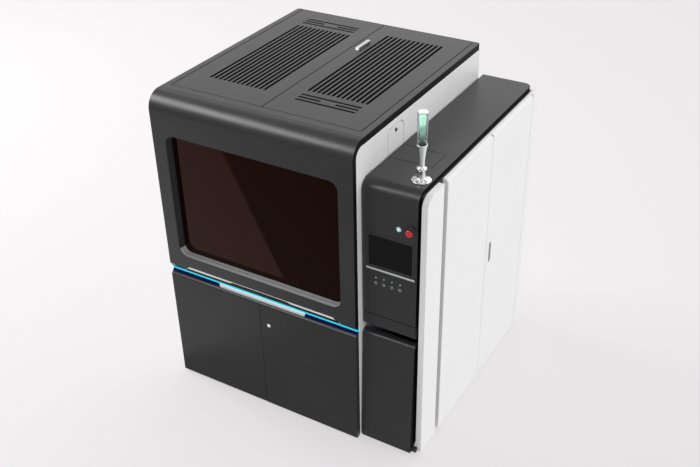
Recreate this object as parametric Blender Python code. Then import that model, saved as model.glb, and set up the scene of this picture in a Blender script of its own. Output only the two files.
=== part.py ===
"""Large cabinet resin printer with a control annex on its right side.

Metres, +Z up, +X to the right of a person at the window, +Y to the back.
Pieces are laid out from the cabinet's front left foot of the outer skin, and
then shifted so that the origin is on the floor under the centre of the box.
"""
import math

import bmesh
import bpy
from mathutils import Matrix, Vector

# Overall cabinet
MAIN_WIDTH = 1.391
MAIN_DEPTH = 1.628
MAIN_HEIGHT = 2.100
SKIRT = 0.013               # floor to the lower edge of every panel
GAP = 0.0003                # between pieces that touch
SEAM = 0.003                # between a door or lid and what is round it

# Annex
ANNEX_GAP = 0.007
ANNEX_WIDTH = 0.345
ANNEX_HEIGHT = 1.862
ANNEX_SETBACK = 0.082
ANNEX_OVERHANG = 0.062      # how far it reaches behind the cabinet
SIDE_GAP = 0.017            # hood to the white side pieces
SIDE_SKIN = 0.037
SIDE_TOP_DROP = 0.017       # hood top to the side pieces' top

# Sheet metal
PANEL = 0.025
RETURN = 0.037              # depth of the black shells' side returns
BASE_HEIGHT = 0.045
BASE_TOP = 0.065
FOOT_RADIUS = 0.030
FOOT_INSET = 0.110
FOOT_STEM = 0.012
FOOT_RIM = 0.008
BEAM_HEIGHT = 0.057
ROOF_BAND = 0.043
BEND = 0.105                # outer radius between front and roof
CREASE = BEND + 0.007       # front to the seam between door and roof
PANEL_ARC = 0.062

# Waist
WAIST = 0.867               # lower edge of the window door
CHIN_HEIGHT = 0.041
CHIN_DEPTH = 0.024
STRIP_HEIGHT = 0.0100
STRIP_DEPTH = 0.034
STRIP_GAP = 0.002
SCOOP_LOW = 0.013           # finger scoop of the window door, above the waist
SCOOP_HIGH = 0.054
SCOOP_END = 0.108           # cabinet's side to the scoop's lower corner
SCOOP_SLANT = 0.048
SCOOP_DEPTH = 0.022

# Window
WINDOW_WIDTH = MAIN_WIDTH - 2 * 0.094
WINDOW_BOTTOM = 0.996
WINDOW_HEIGHT = MAIN_HEIGHT - 0.242 - WINDOW_BOTTOM
WINDOW_RADIUS = 0.065
LIP = 0.0046
STEP_OUTSIDE = 0.0065       # the recess steps in half way down
STEP_INSIDE = 0.0095
STEP_DEPTH = 0.026
RECESS_INSET = 0.0110
RECESS_DEPTH = 0.050
FLANGE_INSET = 0.0260
GLASS = 0.006
SURROUND_DEPTH = RECESS_DEPTH + GLASS + 0.006

# Roof lids
LID_SIDE = 0.048
LID_FRONT = 0.175
LID_THICKNESS = 0.020
LID_SEAM = 0.005
SLOT_COUNT = 13
SLOT_PITCH = 0.0325
SLOT_WIDTH = 0.0165
SLOT_EDGE = 0.132           # lid's outer edge to its first slot
LEFT_SLOTS = (0.369, 1.350)
RIGHT_SLOTS = (0.482, 1.457)
LOUVRE_PITCH = 0.036
LOUVRE_LENGTH = 0.398
LOUVRE_BREAK = 0.100
LOUVRE_SPACE = 0.047        # slots' end to the nearest louvre
ROOF_CORNER = 0.018
RIDGE_WIDTH = 0.048
RIDGE_HEIGHT = 0.025
HANDLE_BAR = 0.022          # lid handle, across its bar
HANDLE_RISE = 0.018
HANDLE_REACH = (1.140, 1.310)
HANDLE_FOOT = 0.020
HANDLE_INSET = 0.050        # lids' seam to the handle

# Lower doors
LOWER_SLOPE = 0.0355
GRIP_WIDTH = 0.652
GRIP_DEPTH = 0.038
GRIP_FRONT = 0.014
LINER_FRONT = 0.030
LOCK_RADIUS = 0.013
LOCK_DEPTH = 0.020
KEYWAY = (0.002, 0.012, 0.004)
LOCK_X = 0.062              # seam to the lock's centre
LOCK_Z = 0.676

# Process bay
VAT_WIDTH = 0.760
VAT_LENGTH = 0.970
VAT_DEPTH = 0.460
VAT_WALL = 0.005
VAT_FRONT = 0.205
VAT_EDGE = 0.015
DECK_HEIGHT = 0.870
DECK_THICKNESS = 0.008
PLATFORM = 0.600
PLATFORM_FRONT = 0.400
PLATFORM_THICKNESS = 0.012
PLATFORM_HOLE = 0.018
PLATFORM_HOLES = 6          # along each side
BENCH_HEIGHT = MAIN_HEIGHT - 0.165
BENCH_THICKNESS = 0.015
POST = 0.040
BEAM_OPENING = 0.070
SCANNER = (0.180, 0.200, 0.105)
SCANNER_LENS = 0.045
LASER = (0.230, 0.480, 0.090)
RAIL_WIDTH = 0.020
RAIL_HEIGHT = 0.015
RAIL_OUT = 0.044            # vat's side to a rail's centre
RECOATER_DEPTH = 0.060
RECOATER_HEIGHT = 0.060
RECOATER_LIFT = 0.025       # deck to the underside of the blade carrier
CARRIAGE_WIDTH = 0.550
CARRIAGE_HEIGHT = 0.270
CARRIAGE_PLATE = 0.030
CARRIAGE_LOW = 0.455        # above the resin
ARM_WIDTH = 0.020
ARM_SPREAD = 0.470
COLUMN_WIDTH = 0.590
COLUMN_THICKNESS = 0.038
SCREW_RADIUS = 0.012

# Controls on the fascia, from the hood's left edge and the floor
SCREEN_WIDTH = 0.302
SCREEN_HEIGHT = 0.226
SCREEN_LEFT = 0.027
SCREEN_BOTTOM = 1.318
BUTTON_RADIUS = 0.012
BUTTON_PITCH = 0.052
BUTTON_DEPTH = 0.014
BUTTON_SPACE = 0.004        # left behind a button for its stroke
BUTTON_PROUD = 0.002
POWER_PROUD = 0.003
BUTTON_LEFT = 0.086
BUTTON_HEIGHT = 1.211
POWER_X = 0.230
POWER_Z = 1.616
POWER_RADIUS = 0.0135
ESTOP_X = 0.308
ESTOP_Z = 1.628
ESTOP_RADIUS = 0.021
ESTOP_COLLAR = 0.022
ESTOP_STEM = 0.010
COLLAR_HEIGHT = 0.012
STEM_LENGTH = 0.024         # fascia to the end of the stem
FIT = 0.0005                # running clearance round buttons and locks
DRAWER_TOP = 0.977
DRAWER_HEIGHT = 0.091
DRAWER_SEAM = 0.005
TRAY_INSET = 0.012
TRAY_LENGTH = 0.330
TRAY_WALL = 0.040
TRAY_SHEET = 0.003
KEYBOARD_HEIGHT = 0.012
LOWER_ANNEX_TOP = 0.841
LOWER_ANNEX_FACE = 0.074    # front of the lower annex door at its top
LOWER_ANNEX_FOOT = 0.046    # and at its foot, where it leans forward
KICK_FRONT = 0.066
KICK_HEIGHT = 0.045
KICK_UNDER_COLUMN = 0.014   # how far the plinth reaches in front of the white column

# Hatch groove in the annex roof
GROOVE = 0.004
GROOVE_DEPTH = 0.003
GROOVE_REACH = 0.277
GROOVE_FRONT = 0.383
GROOVE_BACK = 0.561

# Annex side
COLUMN_FRONT = 0.088
COLUMN_BACK = 0.285
LEAF_FRONT = 0.335
LEAF_SPLIT = 0.9475
LEAF_BACK = 1.577
LEAF_SEAM = 0.005
HANDLE_BOTTOM = 0.903
HANDLE_HEIGHT = 0.154
HANDLE_WIDTH = 0.034
HANDLE_SET = 0.048          # leaves' seam to the handle's well
HANDLE_POCKET = 0.018
HANDLE_PIVOT = 0.008
FINGER_NOTCH = 0.034        # open part of the handle's well above its lever

# Back
REAR_SHEET = 0.015
INLET_X = 0.110
INLET_Z = 0.300
INLET_SIZE = 0.060

# Controls inside the annex: low, high, front, back and depth of each housing
CONTROL_FRONT = 0.440
CONTROL_BACK = 1.560
CONTROL_LOW = 0.150
CONTROL_TOP = 1.700
CONTROLS = (
    (0.200, 0.560, 0.460, 0.900, 0.120),    # computer
    (0.200, 0.480, 0.960, 1.500, 0.100),    # power supplies
    (0.640, 1.000, 0.460, 1.500, 0.080),    # axis drives
    (1.080, 1.400, 0.460, 0.860, 0.110),    # laser controller
    (1.080, 1.400, 0.940, 1.500, 0.070),    # relays and terminals
)

# Signal light
SIGNAL_X = 0.283
SIGNAL_Y = 0.235
SIGNAL_HEIGHT = 0.408
LENS_HEIGHT = 0.190
LENS_RADIUS = 0.029

# Service hatch high on the right side panel
HATCH_FRONT = 0.394
HATCH_BACK = 0.575
HATCH_BOTTOM = MAIN_HEIGHT - 0.230
HATCH_TOP = HATCH_BOTTOM + 0.144
HATCH_THICKNESS = 0.020
LATCH_RADIUS = 0.011
LATCH_DROP = 0.028          # hatch top to the latch's centre
HATCH_ARC = 0.038
HATCH_SEAM = 0.005
HATCH_CORNER = (HATCH_ARC + HATCH_SEAM) * (2 - 2 ** 0.5)

ROUND = 24                  # facets round a turned piece
BEYOND = 0.010              # how far a cutter reaches past the piece
OVERLAP = 0.001             # how far welded parts of one piece reach into each other

# Worked out from the values above
HOOD_LEFT = MAIN_WIDTH + ANNEX_GAP
HOOD_RIGHT = HOOD_LEFT + ANNEX_WIDTH
SIDE_IN = HOOD_RIGHT + SIDE_GAP
OVERALL_WIDTH = SIDE_IN + SIDE_SKIN
OVERALL_DEPTH = MAIN_DEPTH + ANNEX_OVERHANG
ORIGIN = Vector((OVERALL_WIDTH / 2, OVERALL_DEPTH / 2, 0.0))
MID_X = MAIN_WIDTH / 2
POST_FRONT = RETURN + 0.022
BEAM_TOP = WAIST - 0.010
PANEL_TOP = MAIN_HEIGHT - ROOF_BAND
STRIP_TOP = WAIST - STRIP_GAP
STRIP_BOTTOM = STRIP_TOP - STRIP_HEIGHT
LOWER_TOP = STRIP_BOTTOM - STRIP_GAP
WINDOW_LEFT = MID_X - WINDOW_WIDTH / 2
VAT_LEFT = MID_X - VAT_WIDTH / 2
VAT_BACK = VAT_FRONT + VAT_LENGTH
CARRIAGE_FRONT = VAT_BACK + 0.025
DECK_BACK = VAT_BACK + 0.053
RIM = DECK_HEIGHT + 0.005   # top of the vat, and the level of the resin
RAIL_TOP = DECK_HEIGHT + RAIL_HEIGHT
SIDE_TOP = ANNEX_HEIGHT - SIDE_TOP_DROP
FASCIA_BACK = ANNEX_SETBACK + 0.035
HOOD_BEND = 0.071
HOOD_BAND = 0.035

# Colours are linear; name: (red, green, blue), roughness, metallic
FINISHES = {
    "black_paint": ((0.035, 0.035, 0.036), 0.42, 0.0),
    "white_paint": ((0.78, 0.78, 0.78), 0.40, 0.0),
    "grey_frame": ((0.12, 0.12, 0.13), 0.55, 0.0),
    "silver_trim": ((0.62, 0.60, 0.58), 0.30, 1.0),
    "steel": ((0.50, 0.50, 0.50), 0.35, 1.0),
    "chrome": ((0.80, 0.80, 0.80), 0.08, 1.0),
    "tinted_glass": ((0.020, 0.006, 0.005), 0.05, 0.0),
    "screen_glass": ((0.008, 0.008, 0.009), 0.10, 0.0),
    "light_cyan": ((0.02, 0.72, 0.95), 0.40, 0.0),
    "lens_green": ((0.35, 0.80, 0.62), 0.15, 0.0),
    "red_plastic": ((0.58, 0.02, 0.03), 0.35, 0.0),
    "dark_plastic": ((0.05, 0.05, 0.055), 0.50, 0.0),
    "pale_plastic": ((0.55, 0.72, 0.80), 0.40, 0.0),
    "anodised": ((0.35, 0.36, 0.38), 0.35, 1.0),
}


def clear_scene():
    for old in list(bpy.data.objects):
        bpy.data.objects.remove(old, do_unlink=True)


def finish_material(name):
    found = bpy.data.materials.get(name)
    if found:
        return found
    colour, roughness, metallic = FINISHES[name]
    made = bpy.data.materials.new(name)
    made.use_nodes = True
    shader = made.node_tree.nodes["Principled BSDF"]
    shader.inputs["Base Color"].default_value = (*colour, 1.0)
    shader.inputs["Roughness"].default_value = roughness
    shader.inputs["Metallic"].default_value = metallic
    return made


def piece(name, shape, finish, pivot=(0.0, 0.0, 0.0), smooth=False):
    """Turn a bmesh in cabinet coordinates into a named object pivoting at pivot."""
    bmesh.ops.recalc_face_normals(shape, faces=shape.faces)
    bmesh.ops.translate(shape, vec=-Vector(pivot), verts=shape.verts)
    mesh = bpy.data.meshes.new(name)
    shape.to_mesh(mesh)
    shape.free()
    made = bpy.data.objects.new(name, mesh)
    made.location = Vector(pivot) - ORIGIN
    bpy.context.scene.collection.objects.link(made)
    mesh.materials.append(finish_material(finish))
    if smooth:
        mesh.shade_smooth()
        mesh.set_sharp_from_angle(angle=math.radians(35))
    return made


def combine(target, shape, operation):
    """Apply one exact boolean with a bmesh in cabinet coordinates."""
    tool = piece("tool", shape, "steel")
    step = target.modifiers.new("boolean", "BOOLEAN")
    step.solver = "EXACT"
    step.operation = operation
    step.object = tool
    graph = bpy.context.evaluated_depsgraph_get()
    result = bpy.data.meshes.new_from_object(target.evaluated_get(graph))
    target.modifiers.clear()
    before = target.data
    target.data = result
    result.name = target.name
    bpy.data.meshes.remove(before)
    bpy.data.objects.remove(tool, do_unlink=True)


def cut(target, *shapes):
    for shape in shapes:
        combine(target, shape, "DIFFERENCE")


def weld(target, *shapes):
    for shape in shapes:
        combine(target, shape, "UNION")


def boxes(*corners):
    """Separate closed boxes in one bmesh, each given by two corners."""
    shape = bmesh.new()
    for low, high in corners:
        size = Vector(high) - Vector(low)
        middle = (Vector(high) + Vector(low)) / 2
        place = Matrix.Translation(middle) @ Matrix.Diagonal((*size, 1.0))
        bmesh.ops.create_cube(shape, size=1.0, matrix=place)
    return shape


def box(low, high):
    return boxes((low, high))


def arc(centre, radius, start, stop, steps=8):
    """Points on a circle, both ends included; angles in degrees."""
    points = []
    for step in range(steps + 1):
        angle = math.radians(start + (stop - start) * step / steps)
        points.append((centre[0] + radius * math.cos(angle), centre[1] + radius * math.sin(angle)))
    return points


def prism(outline, axis, low, high):
    """Extrude an outline along X (0), Y (1) or Z (2); it lists the two other coordinates."""
    shape = bmesh.new()
    corners = []
    for point in outline:
        place = list(point)
        place.insert(axis, low)
        corners.append(shape.verts.new(place))
    face = shape.faces.new(corners)
    grown = bmesh.ops.extrude_face_region(shape, geom=[face])["geom"]
    along = Vector((0.0, 0.0, 0.0))
    along[axis] = high - low
    moved = [item for item in grown if isinstance(item, bmesh.types.BMVert)]
    bmesh.ops.translate(shape, vec=along, verts=moved)
    bmesh.ops.recalc_face_normals(shape, faces=shape.faces)
    return shape


def rounded(left, right, bottom, top, radius, steps=6):
    """A rectangle's outline with round corners, anticlockwise."""
    corners = (
        (right - radius, bottom + radius, -90, 0),
        (right - radius, top - radius, 0, 90),
        (left + radius, top - radius, 90, 180),
        (left + radius, bottom + radius, 180, 270),
    )
    outline = []
    for x, z, start, stop in corners:
        outline += arc((x, z), radius, start, stop, steps)
    return outline


def window_outline(inset):
    return rounded(
        WINDOW_LEFT + inset, WINDOW_LEFT + WINDOW_WIDTH - inset,
        WINDOW_BOTTOM + inset, WINDOW_BOTTOM + WINDOW_HEIGHT - inset,
        WINDOW_RADIUS - inset)


def funnel(front, front_y, back, back_y):
    """Bridge two outlines with the same number of points, at two depths, and cap them."""
    shape = bmesh.new()
    rings = []
    for outline, y in ((front, front_y), (back, back_y)):
        ring = [shape.verts.new((x, y, z)) for x, z in outline]
        shape.faces.new(ring)
        rings.append(ring)
    edges = []
    for ring in rings:
        for start, end in zip(ring, ring[1:] + ring[:1]):
            edges.append(shape.edges.get((start, end)))
    bmesh.ops.bridge_loops(shape, edges=edges)
    bmesh.ops.recalc_face_normals(shape, faces=shape.faces)
    return shape


def turned(profile, centre, axis=2, steps=ROUND):
    """Spin a profile of (radius, height) points, which starts and ends at radius 0."""
    shape = bmesh.new()
    chain = [shape.verts.new((radius, 0.0, height)) for radius, height in profile]
    edges = [shape.edges.new(pair) for pair in zip(chain, chain[1:])]
    bmesh.ops.spin(
        shape, geom=chain + edges, axis=(0, 0, 1), cent=(0, 0, 0), dvec=(0, 0, 0),
        angle=2 * math.pi, steps=steps, use_merge=True)
    bmesh.ops.remove_doubles(shape, verts=shape.verts, dist=1e-6)
    turn = {0: Matrix.Rotation(math.pi / 2, 4, "Y"), 1: Matrix.Rotation(math.pi / 2, 4, "X"),
            2: Matrix.Identity(4)}[axis]
    bmesh.ops.transform(shape, matrix=Matrix.Translation(centre) @ turn, verts=shape.verts)
    bmesh.ops.recalc_face_normals(shape, faces=shape.faces)
    return shape


def rod(radius, start, end, axis, centre, steps=ROUND):
    """A plain cylinder along an axis, between two coordinates on it."""
    place = list(centre)
    place.insert(axis, 0.0)
    profile = ((0.0, start), (radius, start), (radius, end), (0.0, end))
    if axis == 1:
        profile = tuple((r, -h) for r, h in profile)
    return turned(profile, place, axis, steps)


# Frame and skin ---------------------------------------------------------

def make_base():
    back = MAIN_DEPTH - PANEL - SEAM
    main = box((PANEL + GAP, POST_FRONT + 0.001, BASE_HEIGHT), (MAIN_WIDTH - PANEL - GAP, back, BASE_TOP))
    piece("base_plate", main, "grey_frame")
    annex = box((HOOD_LEFT, FASCIA_BACK + SEAM, BASE_HEIGHT), (HOOD_RIGHT - GAP, back, BASE_TOP))
    piece("annex_base_plate", annex, "grey_frame")
    top = BASE_HEIGHT - GAP
    profile = ((0.0, 0.0), (FOOT_RADIUS, 0.0), (FOOT_RADIUS, FOOT_RIM), (FOOT_STEM, FOOT_RIM + 0.006),
               (FOOT_STEM, top), (0.0, top))
    for side, x in (("left", FOOT_INSET), ("right", HOOD_RIGHT - FOOT_INSET)):
        for end, y in (("front", FOOT_INSET + RETURN), ("rear", MAIN_DEPTH - FOOT_INSET - RETURN)):
            foot = turned(profile, (x, y, 0.0), steps=16)
            piece("foot_%s_%s" % (end, side), foot, "steel", smooth=True)


def make_frame():
    """Two front posts joined by the beam across the waist."""
    left = PANEL + GAP
    right = MAIN_WIDTH - PANEL - GAP
    inset = 0.001               # the beam is a hair thinner than the posts it is welded to
    beam = box((left + inset, POST_FRONT + inset, BEAM_TOP - BEAM_HEIGHT),
               (right - inset, POST_FRONT + POST - inset, BEAM_TOP))
    frame = piece("front_frame", beam, "grey_frame")
    for x in (left, right - POST):
        weld(frame, box((x, POST_FRONT, BASE_TOP + GAP),
                        (x + POST, POST_FRONT + POST, PANEL_TOP - PANEL_ARC)))


def side_panel_outline():
    front = RETURN + GAP
    centre = (front + PANEL_ARC, PANEL_TOP - PANEL_ARC)
    curve = arc(centre, PANEL_ARC, 180, 90)
    return [(front, SKIRT)] + curve + [(MAIN_DEPTH, PANEL_TOP), (MAIN_DEPTH, SKIRT)]


def strip_notch(left, right):
    """Where the light strip wraps over a side panel."""
    return box((left, 0.0, STRIP_BOTTOM - GAP), (right, CHIN_DEPTH + STRIP_DEPTH + GAP, STRIP_TOP + GAP))


def hatch_outline():
    """The side hatch, square below and round above."""
    middle = HATCH_TOP - HATCH_ARC
    outline = [(HATCH_BACK, HATCH_BOTTOM)]
    outline += arc((HATCH_BACK - HATCH_ARC, middle), HATCH_ARC, 0, 90, 5)
    outline += arc((HATCH_FRONT + HATCH_ARC, middle), HATCH_ARC, 90, 180, 5)
    return outline + [(HATCH_FRONT, HATCH_BOTTOM)]


def hatch_hole():
    """The hole round the hatch: its top corners are cut straight, one seam clear of the arcs."""
    front, back = HATCH_FRONT - HATCH_SEAM, HATCH_BACK + HATCH_SEAM
    bottom, top = HATCH_BOTTOM - HATCH_SEAM, HATCH_TOP + HATCH_SEAM
    return [(back, bottom), (back, top - HATCH_CORNER), (back - HATCH_CORNER, top),
            (front + HATCH_CORNER, top), (front, top - HATCH_CORNER), (front, bottom)]


def make_side_panels():
    left = piece("side_panel_left", prism(side_panel_outline(), 0, 0.0, PANEL), "white_paint")
    cut(left, strip_notch(-0.01, PANEL + 0.01))
    inner = MAIN_WIDTH - PANEL
    right = piece("side_panel_right", prism(side_panel_outline(), 0, inner, MAIN_WIDTH), "white_paint")
    cut(right, strip_notch(inner - 0.01, MAIN_WIDTH + 0.01))
    cut(right, prism(hatch_hole(), 0, inner - 0.01, MAIN_WIDTH + 0.01))
    rear = box((PANEL + GAP, MAIN_DEPTH - PANEL, SKIRT),
               (MAIN_WIDTH - PANEL - GAP, MAIN_DEPTH, PANEL_TOP - GAP))
    piece("rear_panel", rear, "white_paint")


def make_side_hatch():
    hatch = piece(
        "side_hatch", prism(hatch_outline(), 0, MAIN_WIDTH - HATCH_THICKNESS, MAIN_WIDTH), "white_paint",
        pivot=(MAIN_WIDTH, 0.0, HATCH_BOTTOM))
    latch_at = ((HATCH_FRONT + HATCH_BACK) / 2, HATCH_TOP - LATCH_DROP)
    pocket = MAIN_WIDTH - 0.012
    cut(hatch, rod(LATCH_RADIUS + FIT, pocket, MAIN_WIDTH + BEYOND, 0, latch_at, 16))
    latch = rod(LATCH_RADIUS, pocket + GAP, MAIN_WIDTH + 0.004, 0, latch_at, 16)
    piece("hatch_latch", latch, "dark_plastic", pivot=(MAIN_WIDTH, *latch_at))


def make_roof_rails():
    """Front and side rails of the roof opening, and the ridge under the lids' seam."""
    low = PANEL_TOP + GAP
    front = box((0.0, CREASE + SEAM, low), (MAIN_WIDTH, LID_FRONT - LID_SEAM, MAIN_HEIGHT))
    rails = piece("roof_rails", front, "black_paint")
    start = LID_FRONT - LID_SEAM - OVERLAP
    stop = MAIN_DEPTH
    left = [(LID_SIDE - LID_SEAM, start), (LID_SIDE - LID_SEAM, stop)]
    left += arc((ROOF_CORNER, stop - ROOF_CORNER), ROOF_CORNER, 90, 180, 4) + [(0.0, start)]
    right = [(MAIN_WIDTH - x, y) for x, y in reversed(left)]
    weld(rails, prism(left, 2, low, MAIN_HEIGHT), prism(right, 2, low, MAIN_HEIGHT))
    ridge_top = MAIN_HEIGHT - LID_THICKNESS - GAP
    weld(rails, box((MID_X - RIDGE_WIDTH / 2, start, ridge_top - RIDGE_HEIGHT),
                    (MID_X + RIDGE_WIDTH / 2, MAIN_DEPTH - PANEL - SEAM, ridge_top)))


def lid_outline():
    """Side view of a lid with its down-turned back edge."""
    low = MAIN_HEIGHT - LID_THICKNESS
    lip_low = PANEL_TOP + SEAM
    lip_front = MAIN_DEPTH - LID_THICKNESS
    return [(LID_FRONT, low), (LID_FRONT, MAIN_HEIGHT), (MAIN_DEPTH, MAIN_HEIGHT),
            (MAIN_DEPTH, lip_low), (lip_front, lip_low), (lip_front, low)]


def lid_slots(first_x, reach, louvre_start, louvre_left):
    """Long vent slots with three cross louvres, the middle one broken."""
    low = MAIN_HEIGHT - LID_THICKNESS - BEYOND
    high = MAIN_HEIGHT + BEYOND
    holes = []
    for index in range(SLOT_COUNT):
        x = first_x + index * SLOT_PITCH
        holes.append(((x, reach[0], low), (x + SLOT_WIDTH, reach[1], high)))
    end = louvre_left + LOUVRE_LENGTH
    middle = (louvre_left + end) / 2
    whole = ((louvre_left, end),)
    broken = ((louvre_left, middle - LOUVRE_BREAK / 2), (middle + LOUVRE_BREAK / 2, end))
    for index, spans in enumerate((whole, broken, whole)):
        y = louvre_start + index * LOUVRE_PITCH
        for start, stop in spans:
            holes.append(((start, y, low), (stop, y + SLOT_WIDTH, high)))
    return boxes(*holes)


def make_roof_lids():
    pattern = (SLOT_COUNT - 1) * SLOT_PITCH + SLOT_WIDTH
    left = piece(
        "roof_lid_left", prism(lid_outline(), 0, LID_SIDE, MID_X - LID_SEAM / 2), "black_paint",
        pivot=(LID_SIDE, 0.0, MAIN_HEIGHT))
    first = LID_SIDE + SLOT_EDGE
    cut(left, lid_slots(first, LEFT_SLOTS, LEFT_SLOTS[1] + LOUVRE_SPACE, first))
    right_edge = MAIN_WIDTH - LID_SIDE
    right = piece(
        "roof_lid_right", prism(lid_outline(), 0, MID_X + LID_SEAM / 2, right_edge), "black_paint",
        pivot=(right_edge, 0.0, MAIN_HEIGHT))
    first = right_edge - SLOT_EDGE - pattern
    louvres = RIGHT_SLOTS[0] - LOUVRE_SPACE - 2 * LOUVRE_PITCH - SLOT_WIDTH
    cut(right, lid_slots(first, RIGHT_SLOTS, louvres, first))


def make_lid_handle():
    """A bent bar handle on two feet, near the right lid's free edge."""
    left = MID_X + HANDLE_INSET
    front, back = HANDLE_REACH
    chamfer = 0.010
    bar = 0.006
    low = MAIN_HEIGHT + GAP
    top = MAIN_HEIGHT + HANDLE_RISE
    outline = [(front, low), (front, top - chamfer), (front + chamfer, top), (back - chamfer, top),
               (back, top - chamfer), (back, low), (back - HANDLE_FOOT, low),
               (back - HANDLE_FOOT, top - bar), (front + HANDLE_FOOT, top - bar), (front + HANDLE_FOOT, low)]
    piece("lid_handle", prism(outline, 0, left, left + HANDLE_BAR), "silver_trim")


# Window door ------------------------------------------------------------

def door_outline():
    """Side view of the window door: chin, flat face, bend and the seam at the roof."""
    inner_arc = PANEL_ARC + GAP
    outline = [(CHIN_DEPTH, WAIST), (0.0, WAIST + CHIN_HEIGHT)]
    outline += arc((BEND, MAIN_HEIGHT - BEND), BEND, 180, 90, 10)
    outline += [(CREASE, MAIN_HEIGHT), (CREASE, PANEL_TOP + SEAM)]
    centre = (RETURN - 0.001 + inner_arc, PANEL_TOP + SEAM - inner_arc)
    outline += arc(centre, inner_arc, 90, 180)
    return outline + [(RETURN - 0.001, WAIST)]


def grip_outline(inset):
    """The finger scoop above the chin, wider below than above."""
    bottom, top = WAIST + SCOOP_LOW + inset, WAIST + SCOOP_HIGH - inset
    side = 3 * inset        # the ends slant, so they need more to keep the same gap
    low_end, high_end = SCOOP_END + side, SCOOP_END + SCOOP_SLANT + side
    return [(low_end, bottom), (MAIN_WIDTH - low_end, bottom),
            (MAIN_WIDTH - high_end, top), (high_end, top)]


def make_window_door():
    hinge = (MID_X, CREASE + SEAM / 2, MAIN_HEIGHT)
    shell = piece("upper_door_shell", prism(door_outline(), 0, 0.0, MAIN_WIDTH), "black_paint", hinge)
    cut(shell, prism(window_outline(0.0), 1, -BEYOND, BEND))
    cut(shell, prism(grip_outline(0.0), 1, -BEYOND, SCOOP_DEPTH))
    grip = prism(grip_outline(GAP), 1, SCOOP_DEPTH - 0.010, SCOOP_DEPTH - GAP)
    piece("upper_grip", grip, "silver_trim", hinge)

    surround = piece(
        "window_surround", prism(window_outline(GAP), 1, OVERLAP, SURROUND_DEPTH), "black_paint", hinge)
    cut(surround, funnel(window_outline(LIP), 0.0, window_outline(STEP_OUTSIDE), STEP_DEPTH))
    cut(surround, funnel(window_outline(STEP_INSIDE), STEP_DEPTH - OVERLAP,
                         window_outline(RECESS_INSET), RECESS_DEPTH))
    seat = RECESS_DEPTH + GLASS + GAP
    cut(surround, prism(window_outline(RECESS_INSET), 1, RECESS_DEPTH - OVERLAP, seat))
    cut(surround, prism(window_outline(FLANGE_INSET), 1, seat - OVERLAP, SURROUND_DEPTH + BEYOND))
    piece("window_glass", prism(window_outline(RECESS_INSET + GAP), 1, seat - GAP - GLASS, seat - GAP),
          "tinted_glass", hinge)


# Waist and lower doors --------------------------------------------------

def make_waist():
    strip = box((0.0, CHIN_DEPTH, STRIP_BOTTOM), (MAIN_WIDTH, CHIN_DEPTH + STRIP_DEPTH, STRIP_TOP))
    piece("light_strip", strip, "light_cyan")
    liner = box((MID_X - GRIP_WIDTH / 2 + GAP, LINER_FRONT, LOWER_TOP - GRIP_DEPTH + GAP),
                (MID_X + GRIP_WIDTH / 2 - GAP, CHIN_DEPTH + STRIP_DEPTH, STRIP_BOTTOM - GAP))
    piece("lower_grip_liner", liner, "silver_trim")


def make_lower_doors():
    face_top = LOWER_TOP - LOWER_SLOPE
    rolled = ((0.003, face_top + 0.009), (0.010, face_top + 0.014))
    outline = [(0.0, SKIRT), (0.0, face_top), *rolled,
               (CHIN_DEPTH + STRIP_GAP, LOWER_TOP), (RETURN, LOWER_TOP), (RETURN, SKIRT)]
    scoop = ((MID_X - GRIP_WIDTH / 2, GRIP_FRONT, LOWER_TOP - GRIP_DEPTH),
             (MID_X + GRIP_WIDTH / 2, RETURN + BEYOND, LOWER_TOP + BEYOND))
    left = piece("lower_door_left", prism(outline, 0, 0.0, MID_X - SEAM / 2), "black_paint",
                 pivot=(0.0, 0.0, 0.0))
    cut(left, box(*scoop))
    right = piece("lower_door_right", prism(outline, 0, MID_X + SEAM / 2, MAIN_WIDTH), "black_paint",
                  pivot=(MAIN_WIDTH, 0.0, 0.0))
    cut(right, box(*scoop))
    x = MID_X + LOCK_X
    cut(right, rod(LOCK_RADIUS + FIT, -BEYOND, LOCK_DEPTH, 1, (x, LOCK_Z)))
    barrel = piece("door_lock", rod(LOCK_RADIUS, 0.0, LOCK_DEPTH - GAP, 1, (x, LOCK_Z)), "silver_trim",
                   pivot=(x, 0.0, LOCK_Z), smooth=True)
    cut(barrel, box((x - KEYWAY[0] / 2, -BEYOND, LOCK_Z - KEYWAY[1] / 2),
                    (x + KEYWAY[0] / 2, KEYWAY[2], LOCK_Z + KEYWAY[1] / 2)))


# Annex front ------------------------------------------------------------

def fascia_outline():
    """Side view of the annex front with its bend into the roof."""
    high = ANNEX_HEIGHT - HOOD_BEND
    outer = arc((ANNEX_SETBACK + HOOD_BEND, high), HOOD_BEND, 180, 90)
    inner = arc((ANNEX_SETBACK + HOOD_BEND, high), HOOD_BEND - HOOD_BAND, 90, 180)
    low = DRAWER_TOP + DRAWER_SEAM
    return [(ANNEX_SETBACK, low)] + outer + inner + [(FASCIA_BACK, low)]


def button_centres():
    return [(HOOD_LEFT + BUTTON_LEFT + index * BUTTON_PITCH, BUTTON_HEIGHT) for index in range(4)]


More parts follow.
